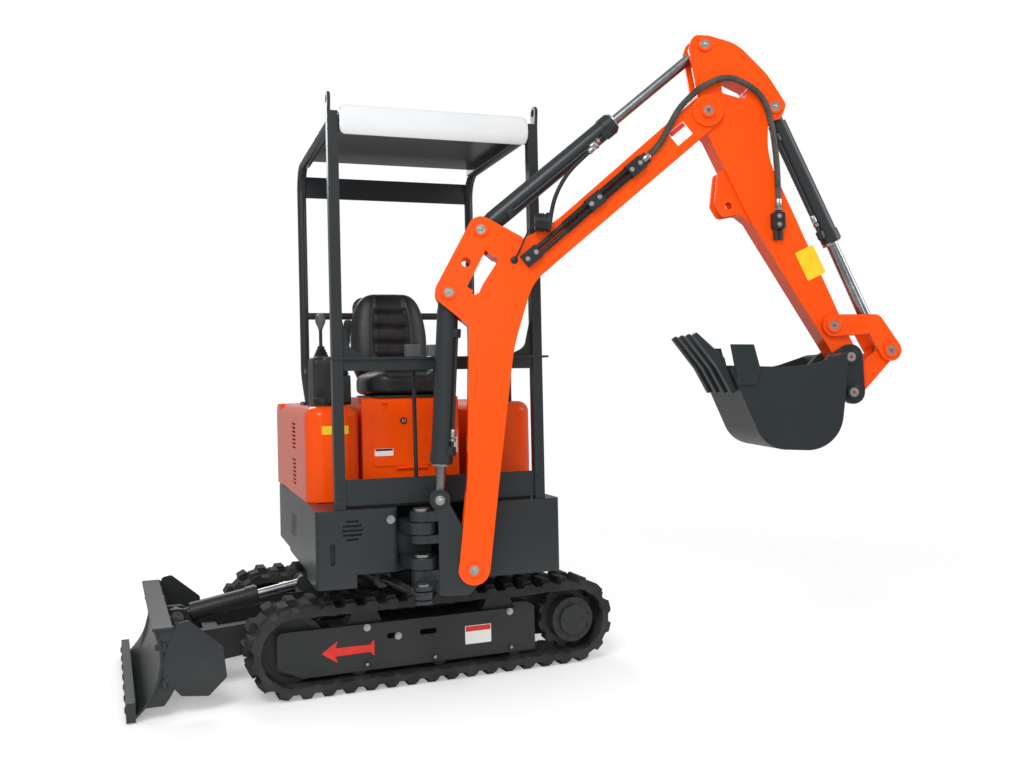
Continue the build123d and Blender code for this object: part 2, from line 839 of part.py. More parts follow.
def rod_shape(eye_r, eye_half, rod_r, length, start):
    body = rod_x(0, 0, rod_r, start, length - eye_r * 0.6)
    return body + rod_y(length, 0, eye_r, -eye_half, eye_half)


def in_plane(p, q):
    """Location of a cylinder whose base pin is p and rod pin is q, in an xz plane."""
    angle = math.degrees(math.atan2(q[1] - p[1], q[0] - p[0]))
    return Pos(p[0], 0, p[1]) * Rot(0, -angle, 0)


def pin_gap(p, q):
    return math.hypot(q[0] - p[0], q[1] - p[1])


def blade_cyl_pins():
    return (blade_cyl_x, blade_cyl_z), (blade_eye_x, blade_eye_z)


def blade_barrel():
    shape = barrel_shape(34, blade_base_half, blade_pin_r, blade_barrel_r, blade_rod_r, blade_barrel_len)
    return in_plane(*blade_cyl_pins()) * shape


def blade_rod():
    length = pin_gap(*blade_cyl_pins())
    return in_plane(*blade_cyl_pins()) * rod_shape(30, blade_eye_half, blade_rod_r, length, blade_rod_start)


# House

def tail_plate(r, half, front, z0, z1):
    """House outline: straight sides and a round tail."""
    side = -math.sqrt(r * r - half * half)
    edges = [
        Edge.make_line((front, -half, z0), (side, -half, z0)),
        Edge.make_three_point_arc((side, -half, z0), (-r, 0, z0), (side, half, z0)),
        Edge.make_line((side, half, z0), (front, half, z0)),
        Edge.make_line((front, half, z0), (front, -half, z0)),
    ]
    return Solid.extrude(Face(Wire(edges)), Vector(0, 0, z1 - z0))


def deck():
    """Deck with the slew race under it, the tower and two ears of the swing post, and the swing cylinder's base."""
    body = tail_plate(tail_r - deck_inset, deck_half_w, deck_front, deck_low, deck_top)
    body += rod_z(0, 0, race_r, ring_top - race_depth, deck_low + 1)
    body += rod_z(0, 0, pedestal_r - 15, ring_top + slew_gap, deck_low + 1)
    axis = (swing_x, swing_y)
    root = (ear_root_x, swing_y)
    body += box(tower_back, deck_front - 20, swing_y - 66, swing_y + 66, deck_low, ear_high_z[1])
    for z0, z1 in (ear_low_z, ear_high_z):
        body += link_flat(axis, ear_r, root, ear_root_r, z0, z1)
    body -= rod_z(*axis, king_pin_r + run_gap, ear_low_z[0] - cut_over, ear_high_z[1] + cut_over)
    base = (swing_base_x, swing_base_y)
    foot_end = (swing_base_x - swing_base_len, swing_base_y)
    base_top = swing_cyl_z + swing_base_half + side_gap
    body += link_flat(base, swing_base_r, foot_end, swing_base_r, base_top, deck_low + 1)
    base_low = swing_cyl_z - swing_base_half - head_gap
    body += rod_z(*base, swing_pin_r, base_low, deck_low)
    return body + rod_z(*base, swing_pin_r + 8, base_low - 6, base_low)


def vent_cut(y, z):
    """Round vent of level slots, cut into a front face."""
    cuts = []
    for i in range(vent_slots):
        h = (i - (vent_slots - 1) / 2) * 2 * vent_r / vent_slots
        half = math.sqrt(vent_r * vent_r - h * h) - 3
        low = z + h - vent_slot / 2
        cuts.append(box(box_front - 15, box_front + cut_over, y - half, y + half, low, low + vent_slot))
    return cuts


def front_box(right):
    if right:
        y0, y1 = -deck_half_w - box_right_over, -box_right_in
    else:
        y0, y1 = box_left_in, deck_half_w + box_left_over
    body = box(box_back, box_front, y0, y1, box_low, box_top)
    body = fillet(body.edges().filter_by(Axis.Z).sort_by(Axis.X)[-2:], box_round)
    x0, x1 = box_back - cut_over, box_front + cut_over
    if right:
        sweep_y = swing_base_y - swing_barrel_r - gland_step - sweep_gap
        body -= box(x0, x1, sweep_y, y1 + cut_over, box_low - cut_over, deck_low + 4)
        body -= box(x0, deck_front + cut_over, -deck_half_w - cut_over, y1 + cut_over, deck_low - cut_over, deck_top)
        for cut in vent_cut((y0 + y1) / 2 - 20, (deck_top + box_top) / 2 + 30):
            body -= cut
        slot_y = y0 + 60
        body -= plate_yz(
            [(slot_y - 9, deck_top + 10, 8), (slot_y + 9, deck_top + 10, 8), (slot_y + 9, deck_top + 90, 8),
             (slot_y - 9, deck_top + 90, 8)],
            box_front - 20, box_front + cut_over)
    else:
        body -= box(x0, deck_front + cut_over, y0 - cut_over, deck_half_w + cut_over, deck_low - cut_over, deck_top)
    return body


def counterweight():
    half = deck_half_w + weight_over
    outer = tail_plate(tail_r, half, weight_front, weight_low, weight_top)
    outer = fillet(outer.faces().sort_by(Axis.Z)[-1].edges().sort_by(Axis.X)[:1], 30)
    front = weight_front + cut_over
    inner = tail_plate(tail_r - weight_wall, half - 90, front, weight_low - cut_over, weight_top + cut_over)
    return outer - inner - tail_plate(tail_r - deck_inset, deck_half_w, 0, deck_low - 0.5, deck_top)


def engine():
    return box(-tail_r + engine_room, engine_front, -engine_half_w, engine_half_w, deck_top, engine_top)


def skirt_out():
    return deck_half_w + panel_gap + skirt_thick


def fender_block(inset):
    """Right side cover as a solid, its faces moved in by the inset."""
    y_out = -skirt_out() + inset
    y_in = -skirt_out() + fender_width - inset
    body = box(fender_back, fender_front - inset, y_out, y_in, box_top, fender_top - inset)
    body = fillet(body.edges().filter_by(Axis.Z).sort_by(Axis.X)[-2:], fender_round - inset)
    rim = body.faces().sort_by(Axis.Z)[-1].edges()
    rim = [e for e in rim if e.center().X > fender_back + 1]
    return fillet(rim, fender_crown - inset)


def fender(right):
    body = fender_block(0) - fender_block(panel_thick)
    if not right:
        return mirror(body, Plane.XZ)
    out = -skirt_out()
    for z in louvre_blocks:
        for i in range(louvre_rows):
            low = z + (i - (louvre_rows - 1) / 2) * louvre_pitch - louvre_slot / 2
            skin = (out - cut_over, out + panel_thick + cut_over)
            body -= box(louvre_x - louvre_len, louvre_x, *skin, low, low + louvre_slot)
    return body


def side_skirts():
    found = []
    for y0, y1 in both_sides(deck_half_w + panel_gap, skirt_out()):
        skirt = box(skirt_back, box_back - 2, y0, y1, box_low + 10, box_top)
        lower = skirt.edges().filter_by(Axis.Y).sort_by(Axis.Z)[:2]
        found.append(fillet(lower, 30))
    for i in range(louvre_rows):
        x = skirt_back + 80 + i * louvre_pitch * 1.5
        low, high = deck_top + 20, deck_top + 120
        slot = [(x, low), (x + louvre_slot, low), (x + 30 + louvre_slot, high), (x + 30, high)]
        found[1] -= plate_xz(slot, -skirt_out() - cut_over, -skirt_out() + 10)
    return solids_of(found)


def seat_base():
    y0, y1 = seat_y - seat_panel_half, seat_y + seat_panel_half
    outer = box(seat_panel_back, seat_panel_x, y0, y1, deck_top, seat_panel_top)
    top = [e for e in outer.edges().filter_by(Axis.Y) if e.center().Z > seat_panel_top - 1 and e.center().X > 0]
    outer = fillet(top, 20)
    inner = box(seat_panel_back - cut_over, seat_panel_x - panel_thick, y0 + panel_thick, y1 - panel_thick,
                deck_top - cut_over, seat_panel_top - panel_thick * 2)
    hole_half = door_half - door_lap
    hole = box(seat_panel_x - panel_thick - 20, seat_panel_x + cut_over, seat_y - hole_half, seat_y + hole_half,
               door_low + door_lap, door_top - door_lap)
    body = outer - inner - hole
    for y in (-2, 2):
        span = knuckle_span(seat_y + y * hinge_half)
        body += rod_y(door_hinge_x, door_hinge_z, hinge_r, *span)
        body += box(seat_panel_x - 1, door_hinge_x, *span, door_hinge_z - hinge_r, door_hinge_z)
        body += rod_y(hood_hinge_x, hood_hinge_z, hinge_r, *span)
        body += box(hood_hinge_x, seat_panel_back + 1, *span, hood_hinge_z, hood_hinge_z + hinge_r)
    return body


def knuckle_span(y):
    """Length of one hinge barrel about its middle, short of the next one by the gap."""
    return y - hinge_half + knuckle_gap / 2, y + hinge_half - knuckle_gap / 2


def access_door():
    corners = [
        (seat_y - door_half, door_low, 8), (seat_y + door_half, door_low, 8),
        (seat_y + door_half, door_top, 8), (seat_y - door_half, door_top, 8),
    ]
    body = plate_yz(corners, seat_panel_x, seat_panel_x + panel_thick)
    span = knuckle_span(seat_y)
    body += box(seat_panel_x + 1, seat_panel_x + panel_thick, *span, door_hinge_z, door_low + 1)
    return body + rod_y(door_hinge_x, door_hinge_z, hinge_r, *span)


def hood_block(inset, over):
    """Rear cover as a solid: a round tail as wide as the house and a neck between the side covers."""
    half = skirt_out() - fender_width - panel_gap * 2 - inset
    wide = skirt_out() - panel_gap - inset
    tail_back = fender_back - panel_gap * 2 - inset
    r = tail_r - hood_inset - inset
    tail = tail_plate(r, wide, tail_back, hood_low - over, fender_top - inset)
    tail = fillet(tail.faces().sort_by(Axis.Z)[-1].edges().sort_by(Axis.X)[:1], hood_round - inset)
    return tail + box(tail_back - 40, hood_front + over, -half, half, hood_low - over, fender_top - inset)


def hood():
    body = hood_block(0, 0) - hood_block(panel_thick, cut_over)
    span = knuckle_span(seat_y)
    root = (hood_front - 2 * panel_thick, fender_top - panel_thick / 2)
    return body + link_plate((hood_hinge_x, hood_hinge_z), hinge_r, root, panel_thick / 2, *span)


def floor_plate():
    narrow = skirt_out() - fender_width - panel_gap
    wide = post_y - post_half - panel_gap
    step = fender_front + panel_gap
    front = post_x - post_half - panel_gap
    corners = [
        (seat_panel_x + 2, -narrow), (step, -narrow), (step, -wide), (front, -wide),
        (front, wide), (step, wide), (step, narrow), (seat_panel_x + 2, narrow),
    ]
    return plate_xy(corners, box_top, box_top + floor_thick)


def seat():
    """Shaped seat: pad and back, each with raised side bolsters."""
    low = seat_panel_top
    pad = [
        (seat_rear, low), (seat_front - 14, low, 14), (seat_front, cushion_top - 10, 34),
        (seat_front - 80, cushion_top, 80), (seat_rear + 90, cushion_top - 24, 60), (seat_rear, cushion_top - 20),
    ]
    side_pad = [
        (seat_rear, low), (seat_front - 20, low, 14), (seat_front - 6, cushion_top - 4, 30),
        (seat_front - 90, cushion_top + bolster_rise, 90), (seat_rear, cushion_top + bolster_rise - 8),
    ]
    top_x = back_foot - back_lean
    back = [
        (back_foot, low + 40), (back_foot + back_thick, low + 40), (back_foot + back_thick, cushion_top + 40, 80),
        (top_x + back_thick - 22, back_top, 30), (top_x, back_top, 24), (back_foot - 30, cushion_top + 60, 200),
    ]
    side_back = [
        (back_foot, low + 40), (back_foot + back_thick + 26, low + 40),
        (back_foot + back_thick + 30, cushion_top + 70, 60),
        (top_x + back_thick, back_top - 30, 60), (top_x, back_top - 20, 24), (back_foot - 30, cushion_top + 60, 200),
    ]
    inner = seat_half_w - bolster
    body = plate_xz(pad, seat_y - inner, seat_y + inner) + plate_xz(back, seat_y - inner, seat_y + inner)
    for y0, y1 in both_sides(inner, seat_half_w):
        body += plate_xz(side_pad, seat_y + y0, seat_y + y1) + plate_xz(side_back, seat_y + y0, seat_y + y1)
    return body


def consoles():
    found = []
    for sy in (-1, 1):
        y = sy * console_y
        body = box(console_x - console_half_x, console_x + console_half_x, y - console_half_y, y + console_half_y,
                   fender_top, console_top)
        body = fillet(body.edges().filter_by(Axis.Y).sort_by(Axis.Z)[-2:], 30)
        found.append(fillet(body.faces().sort_by(Axis.X)[-1].edges().filter_by(Axis.Z), 16))
    return solids_of(found)


def joystick(y):
    body = Pos(console_x, y, console_top + boot_height / 2) * Cone(boot_r, stick_r + 3, boot_height)
    body += rod_z(console_x, y, stick_r, console_top + boot_height / 2, stick_top + 10)
    return body + Pos(console_x, y, stick_top + knob_r) * Sphere(knob_r)


def travel_lever(y):
    floor = box_top + floor_thick
    mid_z = (floor + lever_top) / 2
    bend = (lever_top_x + 8, y, mid_z, 300)
    body = pipe([(lever_foot_x, y, floor + lever_r), bend, (lever_top_x, y, lever_top)], lever_r)
    body += rod_z(lever_foot_x, y, lever_r * 1.5, floor, floor + 10)
    grip = box(lever_top_x - 16, lever_top_x + 14, y - grip_half, y + grip_half, lever_top - 12, lever_top + 30)
    return body + fillet(grip.edges().filter_by(Axis.Y), 12)


def pedal(y):
    floor = box_top + floor_thick
    outline = [
        (pedal_x - 40, floor), (pedal_x - 20, floor), (pedal_x + 8, floor + 40), (pedal_x + 34, floor + 70),
        (pedal_x + 26, floor + 78), (pedal_x - 6, floor + 48),
    ]
    return plate_xz(outline, y - pedal_half, y + pedal_half)


def controls():
    found = [joystick(sy * console_y) for sy in (-1, 1)]
    found += [travel_lever(seat_y + sy * lever_apart) for sy in (-1, 1)]
    return solids_of(found + [pedal(sy * pedal_y) for sy in (-1, 1)])


# Canopy

def canopy_front():
    """Front frame: two square posts with lifting lugs, cross bar with gussets, kick plate and top beam."""
    x0, x1 = post_x - post_half, post_x + post_half
    y_in, y_out = post_y - post_half, post_y + post_half
    bar_top = crossbar_z + plate_8 * 2
    parts = []
    for y0, y1 in both_sides(y_in, y_out):
        parts.append(box(x0, x1, y0, y1, box_top, roof_top - 10))
    for y0, y1 in both_sides(y_out - lug_plate, y_out):
        lug = link_plate((post_x, roof_top - 15), lug_foot_r, (post_x, lug_eye_z), lug_tip_r, y0, y1)
        parts.append(lug)
    parts.append(box(x0 - 12, x1 + 6, -post_y - crossbar_over, post_y + crossbar_over, bar_top - plate_8, bar_top))
    parts.append(box(post_x - 12, post_x + 12, -y_in - 4, y_in + 4, crossbar_z - crossbar_drop, bar_top - 2))
    for sy in (-1, 1):
        corners = [
            (sy * (y_in + 4), bar_top - 2), (sy * (y_in + 4), bar_top + gusset * 1.4),
            (sy * y_in, bar_top + gusset * 1.4),
            (sy * (y_in - gusset * 0.25), bar_top + gusset * 0.3, gusset * 0.5), (sy * (y_in - gusset), bar_top - 2),
        ]
        parts.append(plate_yz(corners, post_x - plate_8 / 2, post_x + plate_8 / 2))
    parts.append(box(post_x, post_x + plate_8, -y_in - 4, y_in + 4, kick_low, kick_top))
    parts.append(box(x0, post_x, -y_in - 4, y_in + 4, roof_low, roof_low + beam_height))
    body = joined(parts)
    for y0, y1 in both_sides(y_out - lug_plate - cut_over, y_out + cut_over):
        body -= rod_y(post_x, lug_eye_z, lift_bore_r, y0, y1)
    return body


def canopy_rear():
    """Two bent side rails that run down as rear posts, joined by a deep beam and a grab bar."""
    back = post_x - canopy_depth
    front = post_x - post_half
    parts = []
    for sy in (-1, 1):
        y = sy * post_y
        rail = pipe(
            [(front, y, rail_z), (back, y, rail_z, rail_bend), (back, y, fender_top + foot_rise, foot_bend),
             (back + foot_rise, y, fender_top)], rail_r)
        rail -= box(back, back + 400, y - 60, y + 60, fender_top - 60, fender_top)
        rail += box(back + foot_rise - 75, back + foot_rise + 45, y - 34, y + 34, fender_top, fender_top + plate_8)
        parts.append(rail)
    parts.append(Pos(back, 0, grab_z) * Rot(90, 0, 0) * Cylinder(rail_r - 4, 2 * post_y))
    beam_top = rail_z - rail_bend * 0.35
    parts.append(box(back - 6, back + 6, -post_y, post_y, beam_top - rear_beam_height, beam_top))
    return joined(parts)


def roof():
    """Thin roof sheet with turned-down sides, lying on the rails."""
    back = post_x - canopy_depth + rail_bend * 0.6
    front = post_x - post_half - panel_gap
    low = rail_z + rail_r
    body = box(back, front, -post_y, post_y, low, low + roof_sheet)
    for y0, y1 in both_sides(post_y - roof_sheet - rail_r - 1, post_y - rail_r - 1):
        body += box(back, front, y0, y1, low - 30, low + 1)
    return body


def roof_panel():
    """White front visor with rounded corners, and its flange on the roof sheet."""
    half = post_y - post_half - panel_gap
    top = rail_z + rail_r + roof_sheet + roof_sheet
    x1 = post_x + roof_sheet
    corners = [
        (-half, visor_low, visor_round), (half, visor_low, visor_round),
        (half, visor_high, visor_round), (-half, visor_high, visor_round),
    ]
    flange = box(post_x - visor_back, post_x + 1, -half, half, top - roof_sheet, top)
    return plate_yz(corners, post_x, x1) + flange


# Swing post

def bracket_cheek(y0, y1):
    """Side plate of the swing bracket from the spine to the foot boss and up to the horn."""
    plate = plate_xz(
        [(spine_front - 44, bracket_low), (foot[0] - 20, bracket_low, 30), (foot[0] + 30, foot[1] - 45),
         (foot[0] + 20, foot[1] + 45), (boom_cyl_low[0] + 34, boom_cyl_low[1] - 14),
         (boom_cyl_low[0] - 30, bracket_top),
         (spine_front - 44, bracket_top)], y0, y1)
    plate += rod_y(boom_cyl_low[0], boom_cyl_low[1], horn_r, y0, y1)
    return plate + rod_y(foot[0], foot[1], boss_r, y0, y1)


def swing_bracket():
    """Casting that swings on two king pins: three bosses, a spine, two cheeks with the foot boss and horns."""
    half = boom_half_w - boom_plate - eye_gap
    jaw_top = ear_high_z[0] - side_gap
    low_top = ear_low_z[0] - side_gap
    top_low = ear_high_z[1] + side_gap
    spine_back = spine_front - 44
    parts = [bracket_cheek(y0, y1) for y0, y1 in both_sides(half - cheek_thick, half)]
    parts.append(box(spine_back, spine_front, -half + 5, half - 5, bracket_low, spine_top))
    for z0, z1, r in ((jaw_top - jaw_thick, jaw_top, king_r), (top_low, bracket_top, king_r)):
        parts.append(rod_z(0, 0, r, z0, z1))
    for y0, y1 in both_sides(half - cheek_thick, half - 6):
        parts.append(box(0, spine_back + 5, y0, y1, top_low, bracket_top))
    parts.append(box(0, spine_back + 5, -half + 8, half - 8, jaw_top - jaw_thick, jaw_top))
    parts.append(rod_z(0, 0, king_low_r, bracket_low, low_top))
    parts.append(box(0, spine_back + 5, -half + 8, half - 8, bracket_low, low_top))
    parts.append(rod_y(foot[0], foot[1], boss_r, -half, half))
    body = joined(parts)
    eye_low, eye_top = swing_cyl_z - swing_eye_half - eye_gap, swing_cyl_z + swing_eye_half + eye_gap
    for z0, z1 in ((bracket_low, eye_low), (eye_top, eye_top + swing_ear_thick)):
        body += link_flat((0, swing_ear_y), swing_ear_r, (20, -10), king_low_r - 6, z0, z1)
    body -= rod_z(0, 0, king_pin_r + run_gap, bracket_low - cut_over, bracket_top + cut_over)
    return bored(body, [foot], pin_r + run_gap, half + cut_over)


def swing_pins():
    """Two king pins, the boom's foot pin, and the heads of the opened pins."""
    half = boom_half_w - boom_plate - eye_gap
    upper = rod_z(0, 0, king_pin_r, ear_high_z[0] - side_gap - jaw_thick, bracket_top + 4)
    upper += rod_z(0, 0, king_head_r, bracket_top, bracket_top + 10)
    lower = rod_z(0, 0, king_pin_r, bracket_low, ear_low_z[1] + 4)
    lower += rod_z(0, 0, king_head_r, ear_low_z[1] + head_gap, ear_low_z[1] + head_gap + 10)
    ear_top = swing_cyl_z + swing_eye_half + eye_gap + swing_ear_thick
    found = [upper, lower, rod_z(0, swing_ear_y, 20, ear_top, ear_top + 6)]
    found.append(headed_pin(foot, pin_r, boom_half_w + head_gap))
    return solids_of(found + pin_heads(boom_cyl_low, half))


def swing_pin_points():
    """Base and rod pins of the swing cylinder in the house frame."""
    a = math.radians(swing_rest)
    ex = swing_x - swing_ear_y * math.sin(a)
    ey = swing_y + swing_ear_y * math.cos(a)
    return (swing_base_x, swing_base_y), (ex, ey)


def swing_cylinder_place():
    p, q = swing_pin_points()
    angle = math.degrees(math.atan2(q[1] - p[1], q[0] - p[0]))
    return Pos(p[0], p[1], swing_cyl_z) * Rot(0, 0, angle) * Rot(90, 0, 0)


def swing_barrel():
    shape = barrel_shape(30, swing_base_half, swing_pin_r, swing_barrel_r, swing_rod_r, swing_barrel_len)
    return swing_cylinder_place() * shape


def swing_rod():
    length = pin_gap(*swing_pin_points())
    return swing_cylinder_place() * rod_shape(28, swing_eye_half, swing_rod_r, length, swing_rod_start)


# Boom

def boom():
    """Gooseneck box section: side plates, fork at the foot, lugs on its back, fork at the tip."""
    half = boom_half_w
    inner = boom_half_w - boom_plate
    body = plate_xz(boom_corners, -half, half)
    body += rod_y(foot[0], foot[1], boom_foot_r, -half, half)
    body += link_plate(boom_cyl_high, boom_lug_r, arm_cyl_base, boom_lug_r - 2, -half, half)
    body += link_plate(boom_cyl_high, boom_lug_r, boom_root_a, boom_root_r, -half, half)
    body += link_plate(arm_cyl_base, boom_lug_r - 2, boom_root_b, boom_root_r, -half, half)
    body -= plate_xz(boom_fork_cut, -inner, inner)
    body -= plate_xz(boom_lug_cut, -inner, inner)
    body -= plate_xz(boom_hollow, -inner, inner)
    body += rod_y(arm_pivot[0], arm_pivot[1], boom_tip_r, -half - boom_tip_boss, half + boom_tip_boss)
    gap = arm_half_w + side_gap
    body -= plate_xz(boom_tip_cut, -gap, gap)
    body -= link_plate(boom_slot[0], boom_slot_r, boom_slot[1], boom_slot_r, -half - cut_over, half + cut_over)
    body -= rod_y(boom_hole[0], boom_hole[1], boom_hole_r, -half - cut_over, half + cut_over)
    return bored(body, [foot, boom_cyl_high, arm_cyl_base, arm_pivot], pin_r + run_gap, half * 2)


def boom_pins():
    found = [headed_pin(p, pin_r, boom_half_w) for p in (boom_cyl_high, arm_cyl_base)]
    return solids_of(found + [headed_pin(arm_pivot, pin_r, boom_half_w + boom_tip_boss)])


def boom_barrel():
    eye_half = boom_half_w - boom_plate - side_gap
    shape = barrel_shape(boom_eye_r, eye_half, pin_r, boom_barrel_r, boom_rod_r, boom_barrel_len)
    return in_plane(boom_cyl_high, boom_cyl_low) * shape


def boom_rod():
    length = pin_gap(boom_cyl_high, boom_cyl_low)
    eye_half = boom_half_w - boom_plate - eye_gap - cheek_thick - eye_gap
    return in_plane(boom_cyl_high, boom_cyl_low) * rod_shape(34, eye_half, boom_rod_r, length, boom_rod_start)


def on_right(corner, y):
    """A side-view corner (t, z) or (t, z, radius) put on a plane y of the swing frame."""
    return (corner[0], y, corner[1]) + tuple(corner[2:])


def boom_hoses():
    """Two hoses clamped to the boom's right face."""
    face = -boom_half_w
    y = face - hose_out
    parts = []
    for t, z in clamp_places:
        block = box(-clamp_half[0], clamp_half[0], face - clamp_thick, face, -clamp_half[1], clamp_half[1])
        parts.append(Pos(t, 0, z) * Rot(0, -39, 0) * block)
    for shift in (-0.5, 0.5):
        step = shift * hose_apart
        run = [(c[0] + step * 0.6362, c[1] - step * 0.7716) + tuple(c[2:]) for c in hose_run]
        parts.append(pipe([on_right(c, y) for c in run], hose_r))
    return joined(parts)


def elbow_hose():
    """The hose that loops from the boom's last clamp over the arm's pivot to the block on the arm."""
    y = -boom_half_w - hose_out
    return pipe([on_right(c, y) for c in elbow_run], hose_r)


def arm_hose_block():
    face = -arm_half_w
    body = box(arm_block_t[0], arm_block_t[1], face - arm_block_thick, face, arm_block_z[0], arm_block_z[1])
    body = fillet(body.edges().filter_by(Axis.Y), 8)
    for t in (arm_block_t[0] + 13, arm_block_t[1] - 13):
        body += rod_z(t, face - arm_block_thick / 2, hose_r, arm_block_z[0] - 40, arm_block_z[0] + 5)
    return body


def work_lamp():
    face = -boom_half_w
    body = rod_x(-lamp_y, lamp_z, lamp_r, lamp_t[0], lamp_t[1])
    body += rod_x(-lamp_y, lamp_z, lamp_r + 5, lamp_t[1] - 12, lamp_t[1])
    body -= rod_x(-lamp_y, lamp_z, lamp_r - 3, lamp_t[1] - 6, lamp_t[1] + cut_over)
    mid = (lamp_t[0] + lamp_t[1]) / 2 - 6
    return body + box(mid - 14, mid + 14, face - lamp_y + boom_half_w + 20, face, lamp_z - 24, lamp_z + 6)


# Arm

def arm():
    """Box section with a horned head, a thumb bracket under it and round tip bosses."""
    half = arm_half_w
    body = plate_xz(arm_corners, -half, half)
    for p, r in ((arm_pivot, arm_pivot_r), (bucket_pin, arm_tip_r), (rocker_pin, arm_rocker_r)):
        body += rod_y(p[0], p[1], r, -half, half)
    body -= plate_xz(arm_horn_cut, -horn_in, horn_in)
    body -= plate_xz(arm_window, -half - cut_over, half + cut_over)
    inner = half - arm_plate
    body -= plate_xz(arm_hollow, -inner, inner)
    thumb = plate_xz(thumb_corners, -thumb_half, thumb_half)
    thumb -= plate_xz(thumb_slot, -thumb_in, thumb_in)
    thumb -= plate_xz(arm_hollow, -inner, inner)
    body += thumb
    body -= rod_y(thumb_bore[0], thumb_bore[1], thumb_bore_r, -half, half)
    return bored(body, [arm_pivot, rocker_pin, bucket_pin, bucket_cyl_base], pin_r + run_gap, half * 2)


def arm_pins():
    return solids_of([headed_pin(bucket_cyl_base, pin_r, arm_half_w)] + pin_heads(arm_horn, arm_half_w))


def arm_barrel():
    eye_half = boom_half_w - boom_plate - side_gap
    shape = barrel_shape(arm_eye_r, eye_half, pin_r, arm_barrel_r, arm_rod_r, arm_barrel_len)
    return in_plane(arm_cyl_base, arm_horn) * shape


def arm_rod():
    length = pin_gap(arm_cyl_base, arm_horn)
    eye_half = horn_in - eye_gap
    return in_plane(arm_cyl_base, arm_horn) * rod_shape(arm_rod_eye_r, eye_half, arm_rod_r, length, arm_rod_start)


def bucket_barrel():
    shape = barrel_shape(bucket_eye_r, horn_in - side_gap, pin_r, bucket_barrel_r, bucket_rod_r, bucket_barrel_len)
    return in_plane(bucket_cyl_base, link_high) * shape


def bucket_rod():
    length = pin_gap(bucket_cyl_base, link_high)
    shape = rod_shape(bucket_rod_eye_r, bucket_rod_half, bucket_rod_r, length, bucket_rod_start)
    return in_plane(bucket_cyl_base, link_high) * shape


# Bucket and its linkage

def rocker_plates():
    low = arm_half_w + side_gap
    found = []
    for y0, y1 in both_sides(low, low + rocker_thick):
        plate = link_plate(rocker_pin, rocker_r, rocker_knee, rocker_knee_r, y0, y1)
        plate += link_plate(rocker_knee, rocker_knee_r, link_high, rocker_r, y0, y1)
        found.append(plate - rod_y(*rocker_pin, pin_r, y0 - cut_over, y1 + cut_over))
    return solids_of(found)


def rocker_pins():
    half = arm_half_w + side_gap + rocker_thick
    return solids_of([headed_pin(rocker_pin, pin_r, half)] + pin_heads(link_high, half))


def bucket_link():
    body = link_plate(link_high, link_r_high, link_low, link_r_low, -link_half, link_half)
    d = pin_gap(link_high, link_low)
    share = link_slot_len / d
    reach = (
        link_high[0] + (link_low[0] - link_high[0]) * share,
        link_high[1] + (link_low[1] - link_high[1]) * share,
    )
    body -= link_plate(link_high, link_r_high * 1.7, reach, link_r_high * 1.2, -link_slot, link_slot)
    return bored(body, [link_low], pin_r + run_gap, link_half * 2)


def bucket():
    """Curved shell with side cutters and two ears for the arm's tip and the link."""
    inner = bucket_half_w - bucket_plate
    body = plate_xz(bucket_corners, -bucket_half_w, bucket_half_w) - plate_xz(bowl_corners, -inner, inner)
    for y0, y1 in both_sides(bucket_half_w - 1, bucket_half_w + cutter_thick):
        body += plate_xz(cutter_corners, y0, y1)
    for y0, y1 in both_sides(ear_in, ear_in + ear_thick):
        body += link_plate(bucket_pin, ear_pin_r, link_low, ear_link_r, y0, y1)
        body += plate_xz(ear_web, y0, y1)
    body -= rod_y(bucket_pin[0], bucket_pin[1], tip_sweep, -ear_in, ear_in)
    return bored(body, [bucket_pin, link_low], pin_r, ear_in + ear_thick + 20)


def bucket_pins():
    return solids_of([headed_pin(p, pin_r, ear_in + ear_thick) for p in (bucket_pin, link_low)])


def bucket_teeth():
    found = []
    for i in range(tooth_count):
        y = (i - (tooth_count - 1) / 2) * tooth_pitch
        found.append(plate_xz(tooth_corners, y - tooth_half, y + tooth_half))
    return solids_of(found)


def locations():
    house = Rot(0, 0, slew_rest)
    swing = house * Pos(swing_x, swing_y, 0) * Rot(0, 0, swing_rest)
    return {"base": Pos(0, 0, 0), "house": house, "swing": swing}


